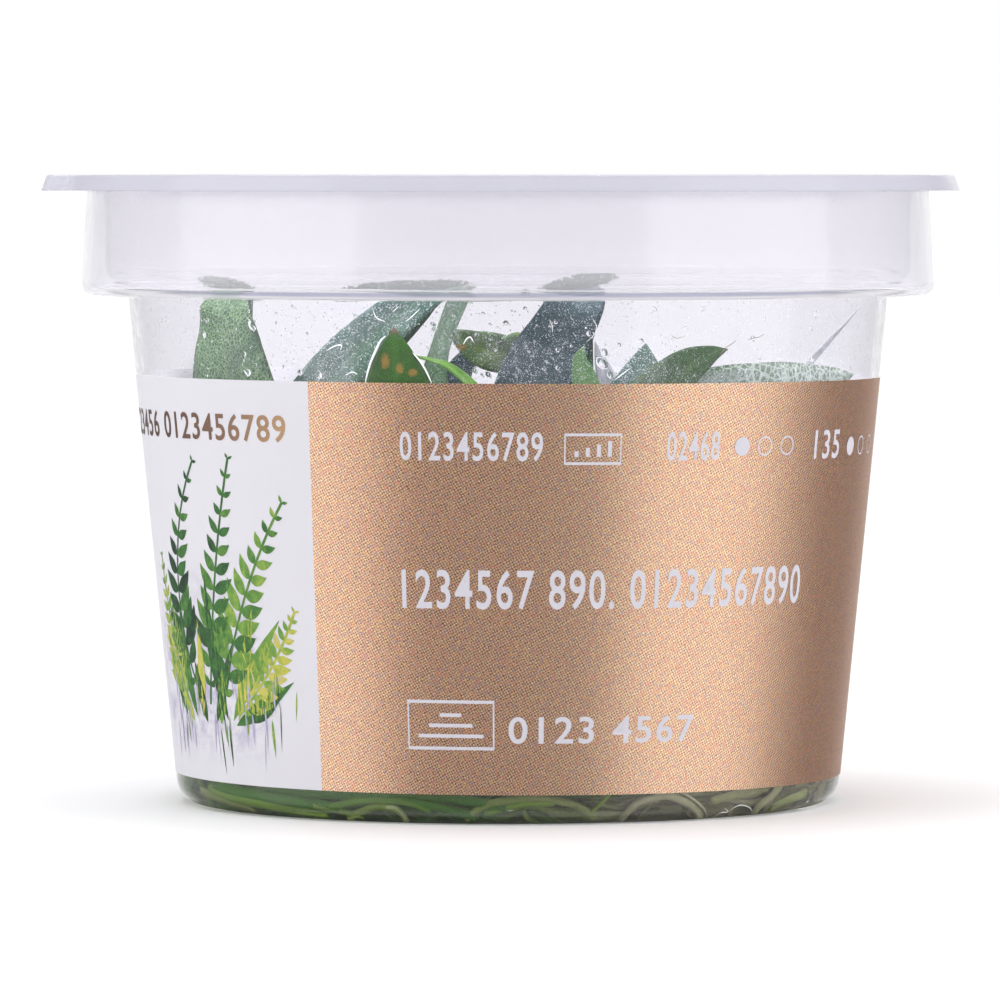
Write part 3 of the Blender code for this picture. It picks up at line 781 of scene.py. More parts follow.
printSizes = {
    "lift": 0.03 * mm,  # over the label
    "slice": 0.7 * mm,  # widest face, so that they follow the curve
    "thick": 0.28 * mm,  # of its drawn lines
    "spacing": 1.12,  # between digits
    "bold": 0.014,
    "disk": 1.0 * mm,  # radius of the full marks
    "ring": 0.95 * mm,  # and of the open ones
    "ringLine": 0.09 * mm,
    "pale": (0.86, 0.83, 0.90),
}
numberRows = (  # digits, left end and foot in millimetres from the gold's edge and base, height, width, ink
    ("0123456789", 10.4, 38.2, 3.1, 14.6, "pale"),
    ("02468", 38.0, 38.2, 3.1, 6.2, "pale"),
    ("135", 58.2, 38.0, 3.1, 5.2, "pale"),
    ("1234567 890. 01234567890", 10.2, 22.7, 4.2, 47.4, "pale"),
    ("0123 4567", 21.5, 8.6, 2.9, 21.4, "pale"),
    ("0123456 0123456789", -39.5, 39.8, 2.9, 37.0, "tan"),
)
ringMarks = (  # across, up and whether it is full
    (47.1, 39.6, 1), (50.2, 39.6, 0), (53.5, 39.6, 0), (66.4, 39.2, 1), (69.8, 39.2, 0), (73.6, 39.2, 0),
)
meterMark = {"corners": ((27.2, 38.0), (33.0, 38.0), (33.0, 41.0), (27.2, 41.0)), "bars": 4}
badgeMark = {"corners": ((10.5, 8.1), (19.9, 8.1), (19.9, 13.0), (10.5, 13.0)), "rows": 3}


def onLabel(across, z, lift=0.0):  # across in metres from the gold's edge
    bearing = label["goldFrom"] + math.degrees(across / label["middleRadius"])
    way = heading(bearing)
    radius = wallRadius(z) + label["lift"] + label["sheet"] + lift
    return way * radius + Vector((0, 0, z - label["askew"] * way.x * radius))


def wrapped(shape, lift):  # a flat shape in metres, bent round the label
    for number, slices in ((0, 1), (1, 8)):  # thin slices across, thicker ones up
        axis = Vector([float(number == part) for part in range(3)])
        spots = [vert.co[number] for vert in shape.verts]
        low, high = min(spots), max(spots)
        step = printSizes["slice"] * slices
        for cut in range(1, int((high - low) / step) + 1):
            parts = shape.verts[:] + shape.edges[:] + shape.faces[:]
            spot = axis * (low + cut * step)
            bmesh.ops.bisect_plane(shape, geom=parts, dist=1e-7, plane_co=spot, plane_no=axis)
    for vert in shape.verts:
        vert.co = onLabel(vert.co.x, vert.co.y, lift)


def textShape(body, left, foot, height, width):
    curve = bpy.data.curves.new("digits", "FONT")
    curve.body = body
    curve.resolution_u = 4
    curve.space_character = printSizes["spacing"]
    curve.offset = printSizes["bold"]
    guide = bpy.data.objects.new("digits", curve)
    bpy.context.scene.collection.objects.link(guide)
    mesh = bpy.data.meshes.new_from_object(guide.evaluated_get(bpy.context.evaluated_depsgraph_get()))
    bpy.data.objects.remove(guide)
    bpy.data.curves.remove(curve)
    shape = bmesh.new()
    shape.from_mesh(mesh)
    bpy.data.meshes.remove(mesh)
    xs, ys = [v.co.x for v in shape.verts], [v.co.y for v in shape.verts]
    for vert in shape.verts:
        vert.co.x = left + (vert.co.x - min(xs)) / (max(xs) - min(xs)) * width
        vert.co.y = foot + (vert.co.y - min(ys)) / (max(ys) - min(ys)) * height
        vert.co.z = 0.0
    return shape


def ribbonShape(line, half, shape=None, closed=False):  # a flat band along (x, y) points
    shape = shape or bmesh.new()
    spots = [Vector((x, y, 0)) for x, y in line]
    rows = []
    for index, spot in enumerate(spots):
        after = spots[(index + 1) % len(spots)] if closed else spots[min(index + 1, len(spots) - 1)]
        before = spots[index - 1] if closed else spots[max(index - 1, 0)]
        ahead = (after - before).normalized()
        side = Vector((-ahead.y, ahead.x, 0))
        width = half[index] if isinstance(half, list) else half
        rows.append([shape.verts.new(spot + side * width * way) for way in (1, -1)])
    pairs = list(zip(rows, rows[1:] + rows[:1])) if closed else list(zip(rows, rows[1:]))
    for low, high in pairs:
        shape.faces.new((low[0], low[1], high[1], high[0]))
    return shape


def circleSpots(x, y, radius):
    return [heading(a) * radius + Vector((x, y, 0)) for a in range(0, 360, 15)]


def joined(name, shapes, tones=()):  # one mesh on the label, with each shape's tone for the shader
    whole, notes = bmesh.new(), []
    for index, shape in enumerate(shapes):
        wrapped(shape, printSizes["lift"])
        notes += [(tones[index], 0, 0) for _ in shape.verts] if tones else []
        part = bpy.data.meshes.new("part")
        shape.to_mesh(part)
        shape.free()
        whole.from_mesh(part)
        bpy.data.meshes.remove(part)
    for face in whole.faces:
        face.normal_update()
        flat = Vector((face.calc_center_median().x, face.calc_center_median().y, 0))
        if face.normal.dot(flat) < 0:
            face.normal_flip()
    mesh = bpy.data.meshes.new(name)
    whole.to_mesh(mesh)
    whole.free()
    if tones:
        noted(mesh, "tone", notes)
    return mesh


def makePrints():
    pale, tan = [], []
    for body, left, foot, height, width, ink in numberRows:
        shape = textShape(body, *(value * mm for value in (left, foot, height, width)))
        (pale if ink == "pale" else tan).append(shape)
    pale.append(markShapes())
    piece("printPale", joined("printPale", pale), [paleFinish()])
    piece("printTan", joined("printTan", tan), [tanFinish()])


def markShapes():
    marks = bmesh.new()
    for x, y, full in ringMarks:
        circle = circleSpots(x * mm, y * mm, printSizes["disk" if full else "ring"])
        if full:
            marks.faces.new([marks.verts.new(spot) for spot in circle])
        else:
            ribbonShape([spot[:2] for spot in circle], printSizes["ringLine"], marks, True)
    half = printSizes["thick"] / 2
    ribbonShape(inMetres(meterMark["corners"]), half * 1.2, marks, True)
    for bar in range(meterMark["bars"]):
        x = 28.4 + bar * 1.15
        ribbonShape(inMetres([(x, 38.7), (x, 39.3 + 0.35 * bar)]), half * 1.5, marks)
    ribbonShape(inMetres(badgeMark["corners"]), half * 1.4, marks, True)
    for row in range(badgeMark["rows"]):
        y = 9.4 + row * 1.1
        ribbonShape(inMetres([(11.6 + row * 1.2, y), (18.8 - row * 1.2, y)]), half * 1.4, marks)
    return marks


def paleFinish():
    finish = Finish("paleInk")
    grain = finish.noise(finish.place(), 0.3 * mm, 2.0)
    colour = finish.mixed(0.18 * grain, printSizes["pale"], dimmed(printSizes["pale"], 0.6))
    return finish.done(finish.principled({"Base Color": colour, "Roughness": 0.5}))


def tanFinish():  # brown at the left, gold by the gold panel
    finish = Finish("tanInk")
    place = finish.place()
    stops = [(0.0, (0.10, 0.06, 0.05)), (0.45, (0.30, 0.17, 0.11)), (0.75, (0.62, 0.38, 0.20))]
    stops.append((1.0, (0.85, 0.56, 0.30)))
    colour = finish.ramp((finish.parts(place)[0] + 40 * mm) / (22 * mm), stops)
    grain = finish.noise(place, 0.3 * mm, 2.0)
    colour = finish.mixed(0.4 * grain, colour, (0.20, 0.12, 0.08))
    return finish.done(finish.principled({"Base Color": colour, "Roughness": 0.5, "Metallic": 0.3}))


# A generic painted motif of fern fronds and grass on the white panel

fronds = (  # foot, knee and tip in millimetres from the gold's edge and base, leaflet length, tone
    ((-20.0, 12.0), (-28.5, 24.0), (-17.5, 37.5), 5.4, 0.2),
    ((-15.5, 11.0), (-11.0, 23.0), (-3.6, 33.5), 5.4, 0.5),
    ((-18.0, 11.5), (-15.5, 25.0), (-11.0, 38.0), 4.8, 0.3),
    ((-23.5, 11.5), (-28.0, 17.0), (-29.0, 27.0), 4.6, 0.7),
    ((-12.5, 10.5), (-6.0, 15.0), (-2.8, 22.0), 4.2, 0.85),
)
blades = (  # foot and tip, half width, tone
    ((-13.5, 10.0), (-5.0, 21.0), 0.95, 0.6), ((-13.0, 9.5), (-3.5, 14.5), 0.9, 0.35),
    ((-14.5, 10.0), (-17.0, 25.5), 1.0, 0.15), ((-12.5, 10.0), (-9.0, 22.0), 0.9, 0.9),
    ((-24.5, 10.0), (-29.5, 19.0), 0.9, 0.3), ((-20.0, 10.0), (-19.5, 20.5), 0.8, 0.95),
    ((-21.5, 10.0), (-24.0, 22.0), 0.9, 0.4), ((-17.0, 9.5), (-12.5, 18.5), 0.8, 0.2),
    ((-22.5, 9.5), (-27.0, 14.5), 0.8, 0.8), ((-16.0, 9.5), (-15.0, 15.5), 0.9, 0.7),
    ((-10.5, 10.0), (-5.5, 12.8), 0.7, 0.15), ((-19.0, 9.5), (-21.0, 16.0), 0.8, 0.1),
)
strokes = {  # of thin wet paint, under the plants
    "count": 46,
    "across": (-28.5, -3.0),
    "top": (9.0, 15.5),
    "tall": (1.5, 5.5),
    "half": (0.07, 0.2),
    "slant": (-0.5, 0.5),
    "tones": (0.1, 0.7, 1.4, 1.4, 1.4),
}
frondSizes = {
    "pairs": 13,  # of leaflets
    "spine": 0.16 * mm,  # its half width
    "lengths": (0.85, 1.1),
    "lean": 0.7,  # towards the tip
    "half": 0.22,  # half width by length
    "bow": 0.08,
    "toneSpread": 0.2,
    "bladeBow": 0.06,
    "seed": 5,
}


def petalLine(start, end, half, bow):
    start, end = Vector(start), Vector(end)
    side = Vector((start.y - end.y, end.x - start.x)) * bow
    line, widths = [], []
    for step in range(9):
        t = step / 8
        place = start.lerp(end, t) + side * 4 * t * (1 - t)
        line.append((place.x * mm, place.y * mm))
        widths.append(half * mm * max(math.sin(math.pi * t**0.8), 0.03))
    return line, widths


def makeFronds():
    dice = random.Random(frondSizes["seed"])
    spread, bow, count = frondSizes["toneSpread"], frondSizes["bladeBow"], frondSizes["pairs"]
    shapes, tones = [], []

    def add(line, widths, tone):
        shapes.append(ribbonShape(line, widths))
        tones.append(tone)

    for foot, knee, tip, leaflet, tone in fronds:
        spine = bend(foot, knee, tip, count)
        add(inMetres(spine), frondSizes["spine"], tone)
        for index in range(1, count + 1):
            here, before = Vector(spine[index]), Vector(spine[index - 1])
            ahead = (here - before).normalized()
            size = leaflet * (1.15 - index / count) * min(1, index / 3)
            for way in (1, -1):
                side = Vector((-ahead.y, ahead.x)) * way
                out = (side + ahead * frondSizes["lean"]).normalized()
                end = here + out * size * dice.uniform(*frondSizes["lengths"])
                leafletTone = min(max(tone + dice.uniform(-spread, spread), 0), 1)
                add(*petalLine(here, end, size * frondSizes["half"], frondSizes["bow"] * way), leafletTone)
    for foot, tip, half, tone in blades:
        add(*petalLine(foot, tip, half, dice.uniform(-bow, bow)), tone)
    for _ in range(strokes["count"]):
        x, top, tall, half = (dice.uniform(*strokes[key]) for key in ("across", "top", "tall", "half"))
        foot = (x + dice.uniform(*strokes["slant"]), top - tall)
        add(*petalLine((x, top), foot, half, 0.0), dice.choice(strokes["tones"]))
    piece("printFronds", joined("printFronds", shapes, tones), [frondFinish()])


def frondFinish():
    finish = Finish("frondPaint")
    tone, _, _ = finish.parts(finish.attribute("tone"))
    wash = finish.noise(finish.place(), 1.1 * mm, 3.0, 0.7)
    stops = [(0.0, (0.012, 0.045, 0.02)), (0.24, (0.05, 0.20, 0.03)), (0.45, (0.22, 0.42, 0.06))]
    stops += [(0.65, (0.72, 0.66, 0.10)), (0.8, (0.50, 0.44, 0.66)), (1.0, (0.62, 0.58, 0.78))]
    colour = finish.ramp(tone * 0.65 + 0.55 * (wash - 0.5), stops)
    return finish.done(finish.principled({"Base Color": colour, "Roughness": 0.55}))


# Gel

gel = {
    "top": 10.5 * mm,
    "soak": 0.05 * mm,  # how far it runs into the cup's wall, to look as if it wets it
    "creep": 0.9 * mm,  # how far its surface climbs the wall
    "ripple": 0.35 * mm,
    "rippleScale": 220,
    "wallSteps": 6,
    "topSteps": 12,
    "azimuths": 180,
    "rightEdge": (-6 * mm, 12 * mm),  # where green gives way to grey
    "leftEdge": (-34.5 * mm, -31 * mm),
    "paleEdge": (21 * mm, 30 * mm),
    "green": (0.52, 0.66, 0.32),  # where green roots fill it
    "grey": (0.80, 0.78, 0.68),
    "pale": (0.95, 0.92, 0.84),  # at its right end
    "milk": 0.02,
    "ior": 1.34,
}


def makeGel():
    soak, wall, foot = gel["soak"], cup["wall"], cup["foot"]
    bottom = (cup["heelRadius"] - wall + soak, cup["heelHeight"] + wall / 2)
    topRadius = wallRadius(gel["top"]) - wall
    outline = [(0, foot - soak)]
    start, knee = (cup["footRadius"] - wall, foot - soak), (bottom[0], foot - soak)
    outline += bend(start, knee, bottom, cup["arcSteps"]["foot"])
    steps = gel["wallSteps"]
    for step in range(1, steps):
        z = bottom[1] + (gel["top"] - bottom[1]) * step / steps
        outline.append((wallRadius(z) - wall + soak, z))
    creep, top = gel["creep"], gel["top"]
    level = topRadius - 2 * creep
    outline += bend((topRadius + soak, top + creep), (topRadius, top), (level, top), 5)
    for step in range(1, gel["topSteps"]):
        outline.append((level * (1 - step / gel["topSteps"]), top))
    outline += [(0, top)]
    mesh = turned("gel", held(outline), evenAzimuths(gel["azimuths"]))
    facedOut(mesh)
    for vert in mesh.vertices:
        if vert.co.z > top - 0.01 * mm:
            vert.co.z += gel["ripple"] * noise.noise(vert.co * gel["rippleScale"])
    piece("gelPad", mesh, [gelFinish()], ["gel"], creased=True)


def gelFinish():
    finish = Finish("growthGel")
    place = finish.place()
    lumps = finish.noise(place, 2 * mm, 3.0)
    across = finish.parts(place)[0]
    toRight = finish.step(across + 12 * mm * (finish.noise(place, 10 * mm) - 0.5), *gel["rightEdge"])
    toLeft = 1 - finish.step(across, *gel["leftEdge"])
    colour = finish.mixed(finish.larger(toRight, toLeft), gel["green"], gel["grey"])
    colour = finish.mixed(finish.step(across, *gel["paleEdge"]), colour, gel["pale"])
    sockets = {
        "Base Color": colour,
        "Roughness": 0.04 + 0.06 * lumps,
        "IOR": gel["ior"],
        "Transmission Weight": 1 - gel["milk"],
        "Normal": finish.bump(lumps, 0.04 * mm),
    }
    return finish.done(finish.pane(finish.principled(sockets)))


# Rhizomes and roots

plants = {
    "stemRadius": 1.5 * mm,
    "stemLength": 9.5 * mm,
    "stemRise": 0.4 * mm,
    "stemShares": (0.45, 0.8, 1.0, 0.94, 1.0, 0.85, 0.5),
    "rootRadius": 0.55 * mm,
    "rootFloor": 2.9 * mm,
    "rootTaper": 0.45,
    "rootAtWall": 0.45,
    "rootAtFloor": 0.5,
    "rootTurns": 0.2,
    "stems": (  # middle, bearing, and each thick root's bearings and distance from the axis
        ((-0.0205, -0.0130), 60, ((215, 262, 0.0324), (205, 150, 0.0312))),
        ((-0.0040, -0.0225), -10, ((262, 226, 0.0302), (282, 324, 0.0326))),
        ((0.0022, -0.0042), 40, ((246, 294, 0.0256),)),
        ((0.0165, -0.0195), 30, ((322, 360, 0.0312), (290, 250, 0.0284))),
        ((-0.0110, 0.0165), 20, ((125, 175, 0.0325),)),
        ((0.0165, 0.0150), -35, ((42, 100, 0.0326),)),
    ),
    "fineRoots": 42,  # more for each plant
    "swaySeed": 3,  # without one, the roots' sway differs from run to run
    "fineRadius": (0.2 * mm, 0.55 * mm),
    "fineFloor": (0.9 * mm, 5.0 * mm),
    "fineReach": (26 * mm, 33.2 * mm),
    "fineStart": 70,  # degrees each side of the plant's own bearing
    "fineTurn": (30, 75),
    "fineSway": 3.2 * mm,
    "clearOfWall": 0.7 * mm,
    "clearBehindLabel": 1.5 * mm,  # more, away from the part of the wall that shows
    "stemSides": 14,
    "rootSides": 10,
    "fineSides": 8,
}
frontRoots = (  # along the wall: plant, tone, radius in millimetres, and bearings from the front and heights
    (1, 0.70, 0.42, ((-30.1, 0.6), (-26.7, 1.22), (-23.9, 1.72), (-21.4, 1.77), (-19.4, 1.35), (-18.7, 0.6))),
    (1, 0.98, 0.26, ((-21.6, 1.75), (-19.8, 1.62), (-18.8, 1.0), (-18.5, 0.5))),
    (1, 0.45, 0.40, ((-33.0, 1.5), (-27.7, 2.18), (-22.8, 2.49), (-17.3, 2.26), (-13.6, 1.5))),
    (1, 0.30, 0.60, ((-64.0, 2.9), (-55.4, 2.4), (-41.9, 2.01), (-31.1, 1.4))),
    (1, 0.62, 0.55, ((-66.0, 2.3), (-54.6, 1.7), (-45.4, 1.25), (-34.0, 0.9))),
    (1, 0.80, 0.45, ((-70.0, 2.0), (-64.0, 1.55), (-52.3, 0.95))),
    (1, 0.66, 0.34, ((-36.3, 1.56), (-30.4, 1.1), (-26.8, 0.7))),
    (1, 0.20, 0.70, ((-48.0, 3.4), (-36.0, 3.0), (-24.0, 3.1), (-12.0, 3.3))),
    (2, 0.74, 0.42, (
        (-7.6, 0.7), (-4.0, 2.06), (0.3, 2.6), (4.7, 2.8), (9.0, 2.46), (12.6, 1.78), (15.4, 0.8),
    )),
    (2, 0.55, 0.34, ((-4.2, 1.2), (2.1, 2.17), (7.9, 2.3))),
    (2, 0.28, 0.48, ((-18.6, 2.6), (-11.9, 1.79), (-5.7, 0.9))),
    (2, 0.22, 0.50, ((-16.0, 3.1), (-6.6, 2.5), (-0.4, 1.8))),
    (2, 0.10, 0.60, ((-2.0, 3.5), (8.0, 3.35), (16.0, 3.4))),
    (2, 0.60, 0.20, ((14.2, 1.0), (16.2, 2.17), (17.8, 3.1))),
    (4, 0.92, 0.40, (
        (20.9, 0.55), (21.6, 1.44), (23.6, 2.27), (26.4, 2.63),
        (29.0, 2.68), (32.2, 2.07), (35.1, 1.24), (37.5, 0.55),
    )),
    (4, 1.00, 0.13, ((30.4, 3.3), (33.6, 2.36), (36.2, 1.42), (38.9, 0.5))),
    (4, 0.84, 0.50, ((51.5, 0.6), (50.9, 1.1), (53.3, 1.83), (56.2, 3.1))),
    (4, 0.78, 0.45, ((38.0, 1.9), (42.6, 2.42), (51.9, 2.9))),
    (4, 0.72, 0.50, ((55.0, 0.9), (60.0, 1.5), (66.0, 1.9))),
    (4, 0.10, 0.55, ((18.0, 3.3), (22.0, 3.35), (26.0, 3.5))),
)


def stemLine(stem, count=24):
    (x, y), bearing, _ = stem
    line = []
    for step in range(count + 1):
        share = step / count - 0.5
        dip = plants["stemRadius"] * 0.5 * (2 * share) ** 2
        middle = Vector((x, y, gel["top"] + plants["stemRise"] - dip))
        line.append(middle + heading(bearing) * share * plants["stemLength"])
    return line


def insideGel(place):  # the place, or where the cup's wall would press it to
    limit = wallRadius(max(place.z, cup["heelHeight"])) - cup["wall"] - plants["clearOfWall"]
    limit -= max(0.0, cup["heelHeight"] + 0.6 * mm - place.z) * 0.9  # the heel curves in
    aside = abs(math.degrees(math.atan2(place.x, -place.y)))
    limit -= plants["clearBehindLabel"] * smoothStep((aside - 50) / 15)
    flat = Vector((place.x, place.y, 0))
    if flat.length > limit:
        flat *= limit / flat.length
    return Vector((flat.x, flat.y, place.z))


def rootLine(stem, root, count=44, floor=None, wander=0.0, seed=0.0):
    (x, y), _, _ = stem
    start, end, reach = root
    floor = floor or plants["rootFloor"]
    top = gel["top"] + plants["stemRise"]
    line = []
    for step in range(count + 1):
        t = step / count
        out = smoothStep(t / plants["rootAtWall"])
        down = smoothStep(t / plants["rootAtFloor"])
        turn = max(t - plants["rootTurns"], 0.0) / (1 - plants["rootTurns"])
        goal = heading(start + (end - start) * turn) * reach
        place = Vector((x, y, 0.0)).lerp(goal, out)
        place.z = top * (1 - down) + floor * down
        if wander:
            sway = noise.noise_vector(Vector((t * 5, seed, 0.0)))
            place += Vector((sway.x, sway.y, sway.z * 0.8)) * wander * min(t * 4, 1)
            place = insideGel(place)
            place.z = min(max(place.z, cup["foot"] + plants["clearOfWall"]), top)
        line.append(place)
    return line


def heelSpot(bearing, z, back):  # on the gel's rounded heel, that far inside it
    wall, low, foot = cup["wall"], cup["heelHeight"] + cup["wall"] / 2, cup["foot"]
    share = 1 - math.sqrt(min(max((z - foot) / (low - foot), 0.0), 1.0))
    radius = cup["heelRadius"] - wall - (cup["heelRadius"] - cup["footRadius"]) * share**2 - back
    return heading(bearing - 90) * radius + Vector((0, 0, z))


def stemRadii(count):
    shares = plants["stemShares"]
    radii = []
    for index in range(count):
        spot = index / (count - 1) * (len(shares) - 1)
        low = min(int(spot), len(shares) - 2)
        share = shares[low] + (shares[low + 1] - shares[low]) * smoothStep(spot - low)
        ring = 1 + 0.05 * math.sin(index * 1.9)  # leaf scars
        radii.append(plants["stemRadius"] * share * ring)
    return radii


def tapering(radius, taper, path):
    last = len(path) - 1
    return [radius * (1 - taper * index / last) for index in range(last + 1)]


def makeRhizomes():
    noise.seed_set(plants["swaySeed"])
    finish = rootFinish()
    for number, stem in enumerate(plants["stems"], 1):
        dice = random.Random(number)
        builder = Builder()
        line = stemLine(stem)
        builder.tube(line, stemRadii(len(line)), plants["stemSides"], (0.0, 0.5, 0.0))
        for root in stem[2]:
            path = rootLine(stem, root)
            radii = tapering(plants["rootRadius"], plants["rootTaper"], path)
            builder.tube(path, radii, plants["rootSides"], (1.0, dice.random(), 0.0))
        outward = math.degrees(math.atan2(stem[0][1], stem[0][0]))
        for extra in range(plants["fineRoots"]):
            start = outward + dice.uniform(-plants["fineStart"], plants["fineStart"])
            end = start + dice.choice((-1, 1)) * dice.uniform(*plants["fineTurn"])
            root = (start, end, dice.uniform(*plants["fineReach"]))
            floor = dice.uniform(*plants["fineFloor"])
            path = rootLine(stem, root, 60, floor, plants["fineSway"], number * 10.0 + extra)
            radii = tapering(dice.uniform(*plants["fineRadius"]), 0.5, path)
            builder.tube(path, radii, plants["fineSides"], (1.0, dice.random(), 0.0))
        for plant, tone, radius, spots in frontRoots:
            if plant == number:
                path = smoothLine([heelSpot(bearing, z * mm, 1.25 * radius * mm) for bearing, z in spots])
                builder.tube(path, [radius * mm] * len(path), plants["rootSides"], (1.0, tone, 1.0))
        mesh = builder.mesh(f"rhizome{number}", "root")
        piece(f"rhizomeWithRoots{number}", mesh, [finish], [f"rhizome_{number}"])


rootLook = {  # colours by each root's tone, from dark to light
    "left": ((0.0, (0.05, 0.17, 0.02)), (0.5, (0.10, 0.30, 0.03)), (1.0, (0.28, 0.46, 0.08))),
    "right": ((0.0, (0.20, 0.22, 0.12)), (0.5, (0.34, 0.35, 0.18)), (1.0, (0.55, 0.54, 0.30))),
    "atWall": (
        (0.0, (0.03, 0.12, 0.03)), (0.3, (0.07, 0.27, 0.03)), (0.6, (0.30, 0.48, 0.05)),
        (0.8, (0.42, 0.43, 0.20)), (1.0, (0.85, 0.82, 0.62)),
    ),
    "rightEdge": (-4 * mm, 16 * mm),
    "stem": (0.10, 0.15, 0.04),
    "streak": (0.05, 0.08, 0.02),
    "rough": 0.45,
}


def rootFinish():
    finish = Finish("greenRoots")
    place = finish.place()
    isRoot, tone, atWall = finish.parts(finish.attribute("root"))
    across, _, _ = finish.parts(place)
    toRight = finish.step(across + 12 * mm * (finish.noise(place, 10 * mm) - 0.5), *rootLook["rightEdge"])
    left, right, near = (finish.ramp(tone, rootLook[key]) for key in ("left", "right", "atWall"))
    colour = finish.mixed(atWall, finish.mixed(toRight, left, right), near)
    colour = finish.mixed(isRoot, rootLook["stem"], colour)
    streaks = finish.noise(place, 1.2 * mm, 3.0)
    colour = finish.mixed(0.5 * streaks, colour, rootLook["streak"])
    bump = finish.bump(streaks, 0.08 * mm)
    sockets = {"Base Color": colour, "Roughness": rootLook["rough"], "Normal": bump}
    return finish.done(finish.principled(sockets))


# Leaves

leafSizes = {
    "petioleRadius": 0.6 * mm,
    "petioleSpread": 0.8,
    "petioleLean": 0.35,
    "petioleBend": 0.6,
    "neckPower": 0.6,
    "tipPower": 0.9,
    "halfSheet": 0.2 * mm,
    "fold": 0.14,
    "pressGap": 0.7 * mm,
    "petioleRings": 14,
    "bladeRings": 46,
    "columns": 14,  # across each face of a blade
    "rib": (0.14 * mm, 0.30 * mm),  # how deep it is pressed in above, and how far it stands out below
    "veinPitch": 0.55 * mm,
    "quilt": 0.05 * mm,
    "wave": 0.05,  # of the half width
}

